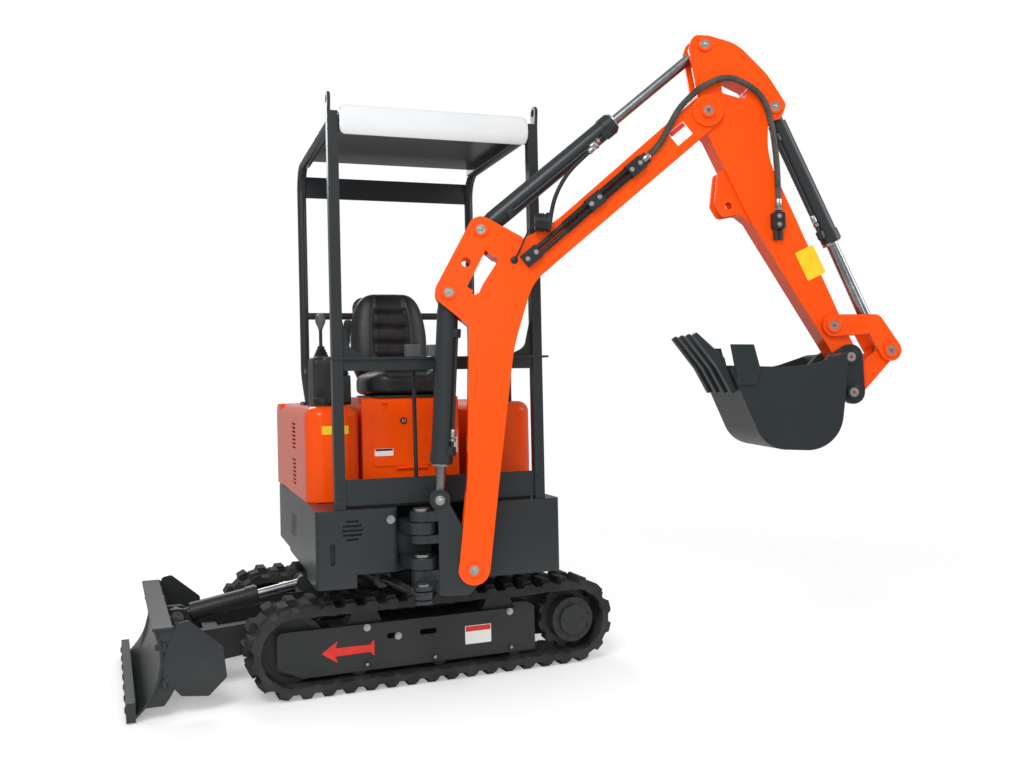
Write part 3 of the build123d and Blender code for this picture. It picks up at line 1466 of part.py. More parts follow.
def makers():
    """Every node with the frame it is drawn in."""
    return {
        "centre_frame": ("base", centre_frame),
        "track_frame_left": ("base", lambda: track_frame(1)),
        "track_frame_right": ("base", lambda: track_frame(-1)),
        "rollers_left": ("base", lambda: rollers(1)),
        "rollers_right": ("base", lambda: rollers(-1)),
        "sprocket_left": ("base", lambda: sprocket(1)),
        "sprocket_right": ("base", lambda: sprocket(-1)),
        "track_left": ("base", lambda: track(1)),
        "track_right": ("base", lambda: track(-1)),
        "slew_ring": ("base", slew_ring),
        "blade": ("base", blade_plate),
        "blade_arms": ("base", blade_arms),
        "blade_pivot_pins": ("base", blade_pivot_pins),
        "blade_cylinder_pin": ("base", blade_cylinder_pin),
        "blade_cylinder_barrel": ("base", blade_barrel),
        "blade_cylinder_rod": ("base", blade_rod),
        "deck": ("house", deck),
        "front_box_right": ("house", lambda: front_box(True)),
        "front_box_left": ("house", lambda: front_box(False)),
        "counterweight": ("house", counterweight),
        "engine": ("house", engine),
        "fender_right": ("house", lambda: fender(True)),
        "fender_left": ("house", lambda: fender(False)),
        "side_skirts": ("house", side_skirts),
        "seat_base": ("house", seat_base),
        "access_door": ("house", access_door),
        "hood": ("house", hood),
        "floor_plate": ("house", floor_plate),
        "seat": ("house", seat),
        "consoles": ("house", consoles),
        "controls": ("house", controls),
        "canopy_front": ("house", canopy_front),
        "canopy_rear": ("house", canopy_rear),
        "roof": ("house", roof),
        "roof_panel": ("house", roof_panel),
        "swing_cylinder_barrel": ("house", swing_barrel),
        "swing_cylinder_rod": ("house", swing_rod),
        "swing_bracket": ("swing", swing_bracket),
        "swing_pins": ("swing", swing_pins),
        "boom": ("swing", boom),
        "boom_pins": ("swing", boom_pins),
        "boom_hoses": ("swing", boom_hoses),
        "elbow_hose": ("swing", elbow_hose),
        "work_lamp": ("swing", work_lamp),
        "boom_cylinder_barrel": ("swing", boom_barrel),
        "boom_cylinder_rod": ("swing", boom_rod),
        "arm": ("swing", arm),
        "arm_pins": ("swing", arm_pins),
        "arm_hose_block": ("swing", arm_hose_block),
        "arm_cylinder_barrel": ("swing", arm_barrel),
        "arm_cylinder_rod": ("swing", arm_rod),
        "bucket_cylinder_barrel": ("swing", bucket_barrel),
        "bucket_cylinder_rod": ("swing", bucket_rod),
        "rocker_plates": ("swing", rocker_plates),
        "rocker_pins": ("swing", rocker_pins),
        "bucket_link": ("swing", bucket_link),
        "bucket": ("swing", bucket),
        "bucket_pins": ("swing", bucket_pins),
        "bucket_teeth": ("swing", bucket_teeth),
    }


def assemble():
    """All nodes in the row frame: origin at the middle of the base of the bounding box."""
    frames = locations()
    placed = {}
    for name, (frame, make) in makers().items():
        placed[name] = frames[frame] * make()
    boxes = [shape.bounding_box() for shape in placed.values()]
    low = [min(tuple(b.min)[i] for b in boxes) for i in range(3)]
    high = [max(tuple(b.max)[i] for b in boxes) for i in range(3)]
    shift = (-(low[0] + high[0]) / 2, -(low[1] + high[1]) / 2, -low[2])
    return {name: Pos(*shift) * shape for name, shape in placed.items()}, shift


if __name__ == "__main__":
    nodes, moved = assemble()
    for name, shape in nodes.items():
        export_step(shape, os.path.join("parts", name + ".step"))
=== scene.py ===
# %% [markdown]
# # A small tracked digger, dressed over its CAD frame
# The imported CAD model gives every solid its place, so nothing is fitted by eye. This lesson loads that
# frame and works out three drawing frames: the undercarriage, the slewing house and the swinging boom.
# Every later piece is drawn in millimetres in one of them, with the same numbers as the CAD source.

# %% Load the frame and make the three drawing frames
import json
import math

import bmesh
import bpy
import numpy as np
from mathutils import Matrix, Quaternion, Vector


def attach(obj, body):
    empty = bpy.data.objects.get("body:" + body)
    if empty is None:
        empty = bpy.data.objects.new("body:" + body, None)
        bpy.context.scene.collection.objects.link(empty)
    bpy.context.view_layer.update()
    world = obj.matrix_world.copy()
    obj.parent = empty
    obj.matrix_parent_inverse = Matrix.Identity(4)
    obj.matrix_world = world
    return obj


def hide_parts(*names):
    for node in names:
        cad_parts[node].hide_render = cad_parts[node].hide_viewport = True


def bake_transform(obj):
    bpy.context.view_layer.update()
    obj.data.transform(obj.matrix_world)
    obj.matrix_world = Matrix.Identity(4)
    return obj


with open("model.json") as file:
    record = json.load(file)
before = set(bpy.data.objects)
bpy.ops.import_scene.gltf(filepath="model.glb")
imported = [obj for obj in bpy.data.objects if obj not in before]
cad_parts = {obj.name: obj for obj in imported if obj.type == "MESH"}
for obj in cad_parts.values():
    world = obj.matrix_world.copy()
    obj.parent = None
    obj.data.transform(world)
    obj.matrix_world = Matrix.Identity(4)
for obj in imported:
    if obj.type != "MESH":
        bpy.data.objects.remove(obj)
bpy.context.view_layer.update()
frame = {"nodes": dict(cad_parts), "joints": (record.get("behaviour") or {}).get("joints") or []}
nodes = frame["nodes"]
joint = {j["name"]: j for j in frame["joints"]}
MM = 0.001


def drawing_frame(origin, left):
    """Millimetre frame with +Z up, +Y along left and its origin on the floor below a pivot."""
    y = Vector(left).normalized()
    z = Vector((0, 0, 1))
    x = y.cross(z)
    turn = Matrix((x, y, z)).transposed().to_4x4()
    return Matrix.Translation((origin[0], origin[1], 0)) @ turn @ Matrix.Scale(MM, 4)


BASE = drawing_frame(joint["slew"]["pos_m"], (0, 1, 0))
HOUSE = drawing_frame(joint["slew"]["pos_m"], joint["access_door"]["axis"])
SWING = drawing_frame(joint["boom_swing"]["pos_m"], joint["boom_lift"]["axis"])
# Bodies that aren't listed are drawn in the swing frame.
FRAME_OF = {"undercarriage": BASE, "blade_body": BASE, "blade_piston": BASE,
            "house": HOUSE, "access_door_body": HOUSE}

# %% [markdown]
# ## Colour and node helpers
# Colours are written as the sRGB hex values seen on the machine and turned to linear light once. Small
# helpers add a node with its settings and links, so that each material below reads as a short list of
# what the surface does.

# %% Helpers for colours, nodes and sizes


def linear(hex_text):
    """Linear RGBA of an sRGB hex colour."""
    found = []
    for i in (0, 2, 4):
        c = int(hex_text[i:i + 2], 16) / 255
        found.append(c / 12.92 if c <= 0.04045 else ((c + 0.055) / 1.055) ** 2.4)
    return (*found, 1.0)


def add(tree, kind, links=None, **settings):
    """Adds a node, sets its properties and fills or links its inputs. A node stands for its first output."""
    node = tree.nodes.new(kind)
    for name, value in settings.items():
        setattr(node, name, value)
    for socket, value in (links or {}).items():
        if isinstance(value, bpy.types.Node):
            value = value.outputs[0]
        if isinstance(value, bpy.types.NodeSocket):
            tree.links.new(value, node.inputs[socket])
        else:
            node.inputs[socket].default_value = value
    return node


def per_mm(size):
    """Texture scale for a pattern whose features are this many millimetres."""
    return 1000.0 / size


def noise(tree, place, size_mm, detail=2.0):
    """Noise whose features have a real size."""
    return add(tree, "ShaderNodeTexNoise", {"Vector": place, "Scale": per_mm(size_mm), "Detail": detail})


def ramp(tree, value, low, high, first, last):
    """Value that goes from first to last while its source goes from low to high."""
    return add(tree, "ShaderNodeMapRange", {"Value": value, 1: low, 2: high, 3: first, 4: last})


def times(tree, a, b):
    return add(tree, "ShaderNodeMath", {0: a, 1: b}, operation="MULTIPLY")


def mixed(tree, share, one, two):
    """Colour socket between two colours."""
    return add(tree, "ShaderNodeMix", {0: share, 6: one, 7: two}, data_type="RGBA").outputs[2]


def new_material(name):
    made = bpy.data.materials.new(name)
    made.use_nodes = True
    made.node_tree.nodes.clear()
    return made, made.node_tree


# %% [markdown]
# ## Paints
# The bodywork is sprayed enamel, thick and glossy with a faint orange-peel skin; frames and boxes are
# charcoal powder coat, satin with a fine pebble. Both show a little dust low down and paler edges: partly
# rubbed wear, partly a painted edge highlight. A bevel node finds the edges: where its rounded normal
# leaves the face's own normal, an edge is near, and the same normal softens the highlight there.

# %% Enamel and powder coat
dust_colour = linear("8a8176")
# Dust lies below this height over the floor, in metres, and is full at its foot.
dust_top, dust_foot = 0.55, 0.02
# Cosines between the normals where the paler edge, wear and painted highlight, starts and is full.
edge_from, edge_full = 0.97, 0.80
mottle_mm, chip_mm, peel_depth = 180, 14, 0.0006


def paint(name, colour, worn_and_highlight, rough, peel_mm, peel, coat, edge_mm=2.5, dust=0.0, shine=0.35):
    """Paint on steel: mottling, paler edges (wear and painted highlight), dust towards the floor, pebbled
    skin.
    """
    made, tree = new_material(name)
    place = add(tree, "ShaderNodeTexCoord").outputs["Object"]
    slow = noise(tree, place, mottle_mm, 3.0)
    skin = noise(tree, place, peel_mm, 2.0)
    soft = add(tree, "ShaderNodeBevel", {"Radius": edge_mm * MM}, samples=4)
    face = add(tree, "ShaderNodeNewGeometry")
    bend = add(tree, "ShaderNodeVectorMath", {0: soft, 1: face.outputs["Normal"]}, operation="DOT_PRODUCT")
    edge = ramp(tree, bend.outputs["Value"], edge_from, edge_full, 0.0, 0.55)
    rub = ramp(tree, noise(tree, place, chip_mm, 4.0), 0.45, 0.62, 0.0, 1.0)
    base = linear(colour)
    deep = tuple(c * 0.88 for c in base[:3]) + (1.0,)
    body = mixed(tree, slow, deep, base)
    # Paler edge colour in patches along the edges: partly rubbed wear, partly a painted edge highlight.
    rubbed_and_highlit = mixed(tree, times(tree, edge, rub), body, linear(worn_and_highlight))
    height = add(tree, "ShaderNodeSeparateXYZ", {0: place})
    low = ramp(tree, height.outputs["Z"], dust_top, dust_foot, 0.0, dust)
    dusty = mixed(tree, times(tree, low, slow), rubbed_and_highlit, dust_colour)
    gloss = ramp(tree, slow, 0.2, 0.8, rough * 0.92, rough * 1.08)
    bump = add(tree, "ShaderNodeBump", {
        "Strength": peel, "Distance": peel_depth, "Height": skin, "Normal": soft})
    shader = add(tree, "ShaderNodeBsdfPrincipled", {
        "Base Color": dusty, "Roughness": gloss, "Normal": bump,
        "Coat Weight": coat, "Coat Roughness": 0.06, "Specular IOR Level": shine})
    add(tree, "ShaderNodeOutputMaterial", {"Surface": shader})
    return made


# Sprayed enamel over steel: deep colour under a clear glossy skin.
# The third colour is the paler edge tint: partly rubbed wear, partly a painted edge highlight.
orange_enamel = paint("orange_enamel_glossy", "fb5207", "f9803c", 0.24, 7, 0.06, 0.15, shine=0.22)
white_enamel = paint("white_enamel_glossy", "dfe2e3", "f4f5f5", 0.25, 7, 0.05, 0.4)
# Powder coat: satin, with a fine pebble that is drawn at 3 mm so that it shows.
charcoal_coat = paint("charcoal_powder_coat_satin", "2b3032", "565d60", 0.36, 3, 0.10, 0.1, dust=0.08)
# The lower works get the same coat with more road dust on it.
charcoal_low = paint("charcoal_powder_coat_dusty", "222628", "565c5e", 0.42, 3, 0.12, 0.05, dust=0.12)
# The loading bucket and the blade are charcoal too, rubbed to grey along their edges.
charcoal_tool = paint("charcoal_powder_coat_rubbed", "252b2e", "666c6f", 0.4, 4, 0.12, 0.05, edge_mm=4,
                      dust=0.1)
print("paints ready")

# %% [markdown]
# ## Rubber, metals, vinyl and plastic
# Moulded rubber is nearly black, dull, with a dusty bloom. Chrome rods are bright, ground smooth and a
# little soft. Zinc-plated pins are soft grey with small stains. Vinyl has a leather grain, and moulded
# plastic a fine spark texture.

# %% Rubber, chrome, zinc, vinyl, plastic and cast iron


def plain_finish(name, colour, second, rough, metallic, grain_mm, bump_depth, patch_mm=60,
                 kind="ShaderNodeTexNoise"):
    """Two close colours in slow patches, roughness that follows them, and a grain of a real size."""
    made, tree = new_material(name)
    place = add(tree, "ShaderNodeTexCoord").outputs["Object"]
    patch = noise(tree, place, patch_mm, 5.0)
    grain = add(tree, kind, {"Vector": place, "Scale": per_mm(grain_mm)})
    colours = mixed(tree, ramp(tree, patch, 0.38, 0.66, 0.0, 1.0), linear(colour), linear(second))
    gloss = ramp(tree, patch, 0.3, 0.7, rough * 0.8, rough * 1.2)
    bump = add(tree, "ShaderNodeBump", {"Strength": 0.5, "Distance": bump_depth * MM, "Height": grain})
    shader = add(tree, "ShaderNodeBsdfPrincipled", {
        "Base Color": colours, "Roughness": gloss, "Metallic": metallic, "Normal": bump})
    add(tree, "ShaderNodeOutputMaterial", {"Surface": shader})
    return made


# Moulded track rubber: dull black with a grey bloom of dust.
track_rubber = plain_finish("black_rubber_moulded", "1b1b1b", "353433", 0.78, 0.0, 2.5, 0.4, patch_mm=90)
# Hose cover: black rubber with a fine wrapped cloth mark.
hose_rubber = plain_finish("black_rubber_hose_wrapped", "161616", "232323", 0.55, 0.0, 2.0, 0.25)
# Dusty textile sleeve and spring wire on the elbow hose.
hose_wrap = plain_finish("grey_textile_sleeve_woven", "403f3a", "57554d", 0.6, 0.0, 2.0, 0.3)
# Hard chrome on the rods: a bright, soft metal sheen without grain.
hard_chrome = plain_finish("hard_chrome_ground", "94979b", "a9abae", 0.3, 1.0, 1.5, 0.0)
# Zinc plate on pins, bolts and fittings: pale grey with small cloudy stains.
zinc_plate = plain_finish("zinc_plated_steel_satin", "b2b4b4", "c6c7c5", 0.38, 1.0, 1.5, 0.04, patch_mm=12)
# Seat cover: vinyl with a leather grain of about 3 mm.
seat_vinyl = plain_finish("black_vinyl_grained", "17181a", "1f2022", 0.42, 0.0, 3.0, 0.35,
                          kind="ShaderNodeTexVoronoi")
# Moulded ABS for knobs, boots and lamp housings, with a spark-eroded texture.
black_plastic = plain_finish("black_abs_moulded", "1c1d1f", "242527", 0.5, 0.0, 1.5, 0.12)
# Grey ABS for the lever grips: plain and a little dull.
grey_plastic = plain_finish("grey_abs_moulded", "4c5053", "575b5e", 0.45, 0.0, 1.5, 0.12)
# Sand-cast iron of the engine block: coarse and matte.
cast_iron = plain_finish("grey_cast_iron_sanded", "565a5c", "66696b", 0.62, 0.3, 2.5, 0.3)
# Clear lamp lens over a bright reflector.
lamp_lens = plain_finish("polycarbonate_lens_clear", "d9dcdd", "f2f4f4", 0.12, 0.6, 6.0, 0.5)
# Red polyethylene caps on the grease points: small warm dots.
red_plastic = plain_finish("red_polyethylene_cap", "a5231d", "b32c25", 0.4, 0.0, 2.0, 0.1)
# Printed vinyl film for the blank plates and the arrow: flat strong colour, faintly glossy.
film = {
    "yellow": plain_finish("yellow_vinyl_film_blank", "f2c21a", "f6ca2c", 0.32, 0.0, 30, 0.02),
    "red": plain_finish("red_vinyl_film_blank", "d22a1e", "dc3325", 0.34, 0.0, 30, 0.02),
    "white": plain_finish("white_vinyl_film_blank", "e9e9e6", "f2f2ef", 0.34, 0.0, 30, 0.02),
    "black": plain_finish("black_vinyl_film_blank", "1d1d1d", "272727", 0.36, 0.0, 30, 0.02),
}
print("materials", len(bpy.data.materials))

# %% [markdown]
# ## Finishes on the CAD solids
# The solids keep their shapes and only take a better material. Each list below is one finish on the real
# machine.

# %% Give every CAD node its finish
finishes = [
    (orange_enamel, "boom arm rocker_plates bucket_link fender_left fender_right seat_base access_door hood"),
    (white_enamel, "roof_panel"),
    (charcoal_coat, "deck front_box_right front_box_left counterweight side_skirts canopy_front canopy_rear "
                    "roof floor_plate swing_bracket boom_cylinder_barrel arm_cylinder_barrel "
                    "bucket_cylinder_barrel swing_cylinder_barrel"),
    (charcoal_low, "centre_frame track_frame_left track_frame_right slew_ring sprocket_left sprocket_right "
                   "rollers_left rollers_right blade_arms blade_cylinder_barrel"),
    (charcoal_tool, "bucket bucket_teeth blade"),
    (track_rubber, "track_left track_right"),
    (hard_chrome, "boom_cylinder_rod arm_cylinder_rod bucket_cylinder_rod swing_cylinder_rod "
                  "blade_cylinder_rod"),
    (zinc_plate, "boom_pins arm_pins bucket_pins rocker_pins swing_pins blade_pivot_pins blade_cylinder_pin"),
    (black_plastic, "consoles controls work_lamp arm_hose_block"),
    (hose_rubber, "boom_hoses elbow_hose"),
    (cast_iron, "engine"),
    (seat_vinyl, "seat"),
]
dressed = set()
for finish, names in finishes:
    for name in names.split():
        if name in nodes:
            nodes[name].data.materials.clear()
            nodes[name].data.materials.append(finish)
            dressed.add(name)
print("nodes without a finish", sorted(set(nodes) - dressed))

# %% [markdown]
# ## Camera, light and floor
# The photo was taken level, at about 1.17 m, with a lens of about 35 mm on a full frame. The studio is a
# white room: large soft lamps, a pale floor that keeps a shadow, and a backdrop that is white to the
# camera only.

# %% Studio
scene = bpy.context.scene
scene.view_settings.view_transform = "Standard"


def linked(name, data):
    """New object of some data, in the scene."""
    made = bpy.data.objects.new(name, data)
    scene.collection.objects.link(made)
    return made


sensor_mm = 36.0
camera_data = bpy.data.cameras.new("camera")
camera = linked("camera", camera_data)
focal_px, photo_px = 1000.0, 1024.0
roll = math.radians(-1.2)
eye = Vector((1.463, 4.075, 1.17))
look = Vector((-0.378, -0.926, 0.0))
level = look.to_track_quat("-Z", "Y")
camera.rotation_mode = "QUATERNION"
camera.rotation_quaternion = level @ Quaternion((0, 0, 1), roll)
camera.location = eye
camera_data.sensor_width = sensor_mm
camera_data.lens = sensor_mm * focal_px / photo_px
scene.camera = camera


def lamp(name, place, target, size, power, mirrored=True):
    """Round soft lamp; one that isn't mirrored lights surfaces without showing in their gloss."""
    data = bpy.data.lights.new(name, "AREA")
    data.shape = "DISK"
    data.size = size
    data.energy = power
    made = linked(name, data)
    made.location = place
    made.rotation_mode = "QUATERNION"
    made.rotation_quaternion = (Vector(target) - Vector(place)).to_track_quat("-Z", "Y")
    made.visible_glossy = mirrored


lamp("key_lamp", (2.6, 4.2, 4.6), (0, 0, 1.0), 2.6, 150)
lamp("fill_lamp", (-4.2, 3.2, 3.2), (0, 0, 1.0), 3.0, 80)
lamp("front_lamp", (2.4, 5.6, 1.7), (0, 0, 0.9), 2.4, 110, mirrored=False)
lamp("back_lamp", (0.5, -4.5, 4.2), (0, 0, 1.0), 3.0, 110)
world = bpy.data.worlds.new("white_room")
scene.world = world
world.use_nodes = True
tree = world.node_tree
tree.nodes.clear()
path = add(tree, "ShaderNodeLightPath")
room = add(tree, "ShaderNodeBackground", {"Color": (1, 1, 1, 1), "Strength": 0.42})
white = add(tree, "ShaderNodeBackground", {"Color": (1, 1, 1, 1), "Strength": 1.0})
both = add(tree, "ShaderNodeMixShader", {0: path.outputs["Is Camera Ray"], 1: room, 2: white})
add(tree, "ShaderNodeOutputWorld", {"Surface": both})

floor_mesh = bpy.data.meshes.new("floor")
floor_mesh.from_pydata([(-12, -12, 0), (12, -12, 0), (12, 12, 0), (-12, 12, 0)], [], [(0, 1, 2, 3)])
floor = linked("floor", floor_mesh)
pale_floor, tree = new_material("pale_studio_floor_matte")
place = add(tree, "ShaderNodeTexCoord").outputs["Object"]
tone = ramp(tree, noise(tree, place, 400), 0.0, 1.0, 0.86, 0.9)
shader = add(tree, "ShaderNodeBsdfPrincipled", {"Base Color": tone, "Roughness": 0.9})
reach = add(tree, "ShaderNodeVectorMath", {0: place}, operation="LENGTH")
fade = add(tree, "ShaderNodeMapRange", {"Value": reach.outputs["Value"], 1: 1.8, 2: 4.5, 3: 0.0, 4: 1.0},
           interpolation_type="SMOOTHSTEP")
clear = add(tree, "ShaderNodeBsdfTransparent")
view = add(tree, "ShaderNodeLightPath")
lift = times(tree, view.outputs["Is Camera Ray"], 0.3)
glow = add(tree, "ShaderNodeEmission", {"Color": (1, 1, 1, 1), "Strength": lift})
bright = add(tree, "ShaderNodeAddShader", {0: shader, 1: glow})
edge = add(tree, "ShaderNodeMixShader", {0: fade, 1: bright, 2: clear})
add(tree, "ShaderNodeOutputMaterial", {"Surface": edge})
floor_mesh.materials.append(pale_floor)
print("camera lens", round(camera_data.lens, 2))

# %% [markdown]
# ## Making pieces
# Three small makers cover most of the trim: a plate with rounded corners and a soft rim, a turned piece
# from a profile, and a hose along a smooth spline. Each makes a plain mesh at its place in the shared
# frame.

# %% Piece makers


def to_object(name, mesh, material, body):
    """Names a mesh made in the shared frame, gives it its finish and lets it ride on a body."""
    made = linked(name, mesh)
    mesh.materials.clear()
    mesh.materials.append(material)
    if body:
        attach(made, body)
    return made


def from_bmesh(name, bm, place):
    """Mesh of a bmesh drawn in millimetres in one of the drawing frames."""
    bmesh.ops.remove_doubles(bm, verts=bm.verts, dist=0.001)
    bmesh.ops.recalc_face_normals(bm, faces=bm.faces)
    bm.transform(place)
    mesh = bpy.data.meshes.new(name)
    bm.to_mesh(mesh)
    bm.free()
    mesh.shade_smooth()
    mesh.set_sharp_from_angle(angle=math.radians(35))
    return mesh


def piece(name, bm, material, body):
    """Finished object of a bmesh drawn in its body's drawing frame."""
    return to_object(name, from_bmesh(name, bm, FRAME_OF.get(body, SWING)), material, body)


def shifted(at, x, y, z):
    """Placement shifted within its own axes."""
    return at @ Matrix.Translation((x, y, z))


def aimed(point, out, up=(0, 0, 1)):
    """Placement with its z along out, its y near up, at a point, all in one drawing frame."""
    z = Vector(out).normalized()
    x = Vector(up).cross(z)
    if x.length < 1e-6:
        x = Vector((1, 0, 0))
    x.normalize()
    y = z.cross(x)
    turn = Matrix((x, y, z)).transposed().to_4x4()
    turn.translation = Vector(point)
    return turn


def eased(outline, r, steps=5):
    """Outline with every corner turned into a short arc of radius r."""
    found = []
    for i, p in enumerate(outline):
        p, before, after = Vector(p), Vector(outline[i - 1]), Vector(outline[(i + 1) % len(outline)])
        u, v = (before - p).normalized(), (after - p).normalized()
        half = u.angle(v) / 2
        start, stop = p + u * r / math.tan(half), p + v * r / math.tan(half)
        centre = p + (u + v).normalized() * r / math.sin(half)
        for k in range(steps + 1):
            q = start.lerp(stop, k / steps) - centre
            found.append(tuple(centre + q.normalized() * r))
    return found


def plate(bm, outline, thick, at, round_mm=0.0, rim=0.6):
    """Adds a flat plate: outline (u, v) in its own plane, thick along its z, with eased corners and rim."""
    if round_mm:
        outline = eased(outline, round_mm)
    face = bm.faces.new([bm.verts.new(at @ Vector((u, v, 0))) for u, v in outline])
    grown = bmesh.ops.extrude_face_region(bm, geom=[face])
    lifted = [v for v in grown["geom"] if isinstance(v, bmesh.types.BMVert)]
    bmesh.ops.translate(bm, verts=lifted, vec=at.to_3x3() @ Vector((0, 0, thick)))
    top = [f for f in grown["geom"] if isinstance(f, bmesh.types.BMFace)]
    if rim:
        edges = [e for f in top for e in f.edges]
        bmesh.ops.bevel(bm, geom=edges, offset=rim, segments=2, profile=0.6, affect="EDGES")


def rectangle(w, h):
    return [(-w / 2, -h / 2), (w / 2, -h / 2), (w / 2, h / 2), (-w / 2, h / 2)]


def turned(bm, profile, at, steps=24, closed=False):
    """Adds a turned piece: profile (r, z) from base to top, round the z axis, or a closed ring of it."""
    rings = []
    for r, z in profile:
        ring = []
        for i in range(steps):
            a = 2 * math.pi * i / steps
            ring.append(bm.verts.new(at @ Vector((r * math.cos(a), r * math.sin(a), z))))
        rings.append(ring)
    pairs = list(zip(rings, rings[1:]))
    if closed:
        pairs.append((rings[-1], rings[0]))
    for low, high in pairs:
        for i in range(steps):
            j = (i + 1) % steps
            bm.faces.new((low[i], low[j], high[j], high[i]))
    if not closed:
        bm.faces.new(list(reversed(rings[0])))
        bm.faces.new(rings[-1])


def plate_piece(name, outline, thick, at, material, body, round_mm=0.0, rim=0.0):
    """Finished object of one plate."""
    bm = bmesh.new()
    plate(bm, outline, thick, at, round_mm, rim)
    piece(name, bm, material, body)


def turned_piece(name, profile, at, steps, material, body, closed=False):
    """Finished object of one turned form."""
    bm = bmesh.new()
    turned(bm, profile, at, steps, closed)
    piece(name, bm, material, body)


def evaluated_mesh(source):
    """Plain mesh of an object as its modifiers or curve settings shape it. The object is removed."""
    bpy.context.view_layer.update()
    mesh = bpy.data.meshes.new_from_object(source.evaluated_get(bpy.context.evaluated_depsgraph_get()))
    bpy.data.objects.remove(source)
    return mesh


def curve_line(name, kind, points, place):
    """Curve data in the shared frame and its one line, through points of a drawing frame."""
    data = bpy.data.curves.new(name, "CURVE")
    data.dimensions = "3D"
    line = data.splines.new(kind)
    line.points.add(len(points) - 1)
    for target, p in zip(line.points, points):
        target.co = (*(place @ Vector(p)), 1.0)
    return data, line


def spline(name, points):
    """Open smooth spline through control points of the swing frame."""
    data, line = curve_line(name, "NURBS", points, SWING)
    data.resolution_u = 10
    line.order_u = 3
    line.use_endpoint_u = True
    return data


def hose(name, points, r, material, body):
    """Finished tube along a smooth spline."""
    data = spline(name, points)
    data.bevel_depth = r * MM
    data.bevel_resolution = 3
    data.use_fill_caps = True
    mesh = evaluated_mesh(linked(name, data))
    mesh.shade_smooth()
    return to_object(name, mesh, material, body)


print("makers ready")

# %% [markdown]
# ## The operator's seat
# The real seat is black vinyl over foam: a pan and a back, each with three rolls sewn into a middle panel
# and raised bolsters beside it. Each pad is a closed, crowned form: a cube is subdivided, pushed out to a
# soft-cornered block, crowned on its outer side and drawn in along its seams. A short cloth inflation
# then tightens the cover between the seams.

# %% Crowned pads with sewn rolls
bolster_rise = 15.0
side_seam_deep, side_seam_wide = 9.0, 7.0
roll_seam_deep, roll_seam_wide = 10.0, 8.0
pad_cuts, corner_power = 44, 4.5
cover_pressure, cover_stiff = 0.8, 25
cover_steps, cover_cap = 8, 5.0


def pad_mesh(name, half, at, crown, seams, panel, taper):
    """Closed pad of half sizes (across, along, thick): sewn rolls in a panel, raised bolsters beside it."""
    bm = bmesh.new()
    bmesh.ops.create_cube(bm, size=2.0)
    bmesh.ops.subdivide_edges(bm, edges=bm.edges, cuts=pad_cuts, use_grid_fill=True)
    for v in bm.verts:
        k = sum(abs(c) ** corner_power for c in v.co) ** (-1.0 / corner_power)
        p = v.co * k
        x, y, z = p.x * half[0], p.y * half[1], p.z * half[2]
        if p.z > 0:
            across = 1 / (1 + math.exp((abs(x) - panel) / 5))
            along = 1 / (1 + math.exp((seams[0] - y) / 4)) / (1 + math.exp((y - seams[-1]) / 4))
            z += p.z * crown * (1 - p.x ** 4) * (1 - p.y ** 4)
            z += p.z * bolster_rise * (1 - across) * (1 - p.x ** 6)
            z -= p.z * side_seam_deep * along * math.exp(-((abs(x) - panel) / side_seam_wide) ** 2)
            for s in seams:
                z -= p.z * roll_seam_deep * across * math.exp(-((y - s) / roll_seam_wide) ** 2)
        x *= 1 - taper * max(0.0, p.y) ** 1.5
        v.co = Vector((x, y, z))
    return from_bmesh(name, bm, HOUSE @ at)


def inflate(made, cap_mm):
    """Short pressure run of Blender's cloth on a pad, with every point's way capped, applied to its mesh."""
    rest = np.array([v.co for v in made.data.vertices])
    cloth = made.modifiers.new("cover", "CLOTH")
    cloth.settings.use_pressure = True
    cloth.settings.uniform_pressure_force = cover_pressure
    cloth.settings.tension_stiffness = cover_stiff
    cloth.settings.compression_stiffness = cover_stiff
    cloth.settings.effector_weights.gravity = 0.0
    cloth.collision_settings.use_collision = False
    for frame_number in range(1, cover_steps + 1):
        scene.frame_set(frame_number)
    swollen = made.evaluated_get(bpy.context.evaluated_depsgraph_get())
    moved = np.array([v.co for v in swollen.data.vertices])
    made.modifiers.remove(cloth)
    scene.frame_set(1)
    step = moved - rest
    far = np.linalg.norm(step, axis=1, keepdims=True)
    step *= np.minimum(1.0, cap_mm * MM / np.maximum(far, 1e-9))
    made.data.vertices.foreach_set("co", (rest + step).astype(np.float32).ravel())
    made.data.update()
    return float(far.max())


seat_mid = -43.0
back_up = Vector((-0.155, 0, 0.988))
back_out = Vector((0.988, 0, 0.155))
pan_at = aimed((58, seat_mid, 1176), (0, 0, 1), (1, 0, 0))
back_at = aimed((-156, seat_mid, 1388), back_out, back_up)
pads = [
    ("seat_pan_cover", (172, 198, 46), pan_at, 8, (-120, -45, 30, 105), 92, 0.06),
    ("seat_back_cover", (172, 204, 40), back_at, 8, (-92, -22, 48, 118), 78, 0.2),
]
for name, half, at, crown, seams, panel, taper in pads:
    made = to_object(name, pad_mesh(name, half, at, crown, seams, panel, taper), seat_vinyl, None)
    print(name, "cover swelled to", round(inflate(made, cover_cap) / MM, 1), "mm before its cap")
    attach(made, "house")
    if name == "seat_pan_cover":
        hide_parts("seat")

bm = bmesh.new()
plate(bm, rectangle(300, 400), 8, shifted(back_at, 0, 0, -44), round_mm=50, rim=3)
plate(bm, rectangle(320, 390), 8, shifted(pan_at, 0, 0, -51), round_mm=40, rim=3)
piece("seat_shell", bm, black_plastic, "house")

# %% [markdown]
# ## Bolts
# Bolt heads repeat all over the machine, so one Geometry Nodes tree makes them: it puts a hexagon head on
# a washer at each point of a small mesh and turns it along the point's own aim. Sizes are named inputs in
# metres.

# %% Geometry Nodes tree for bolt heads


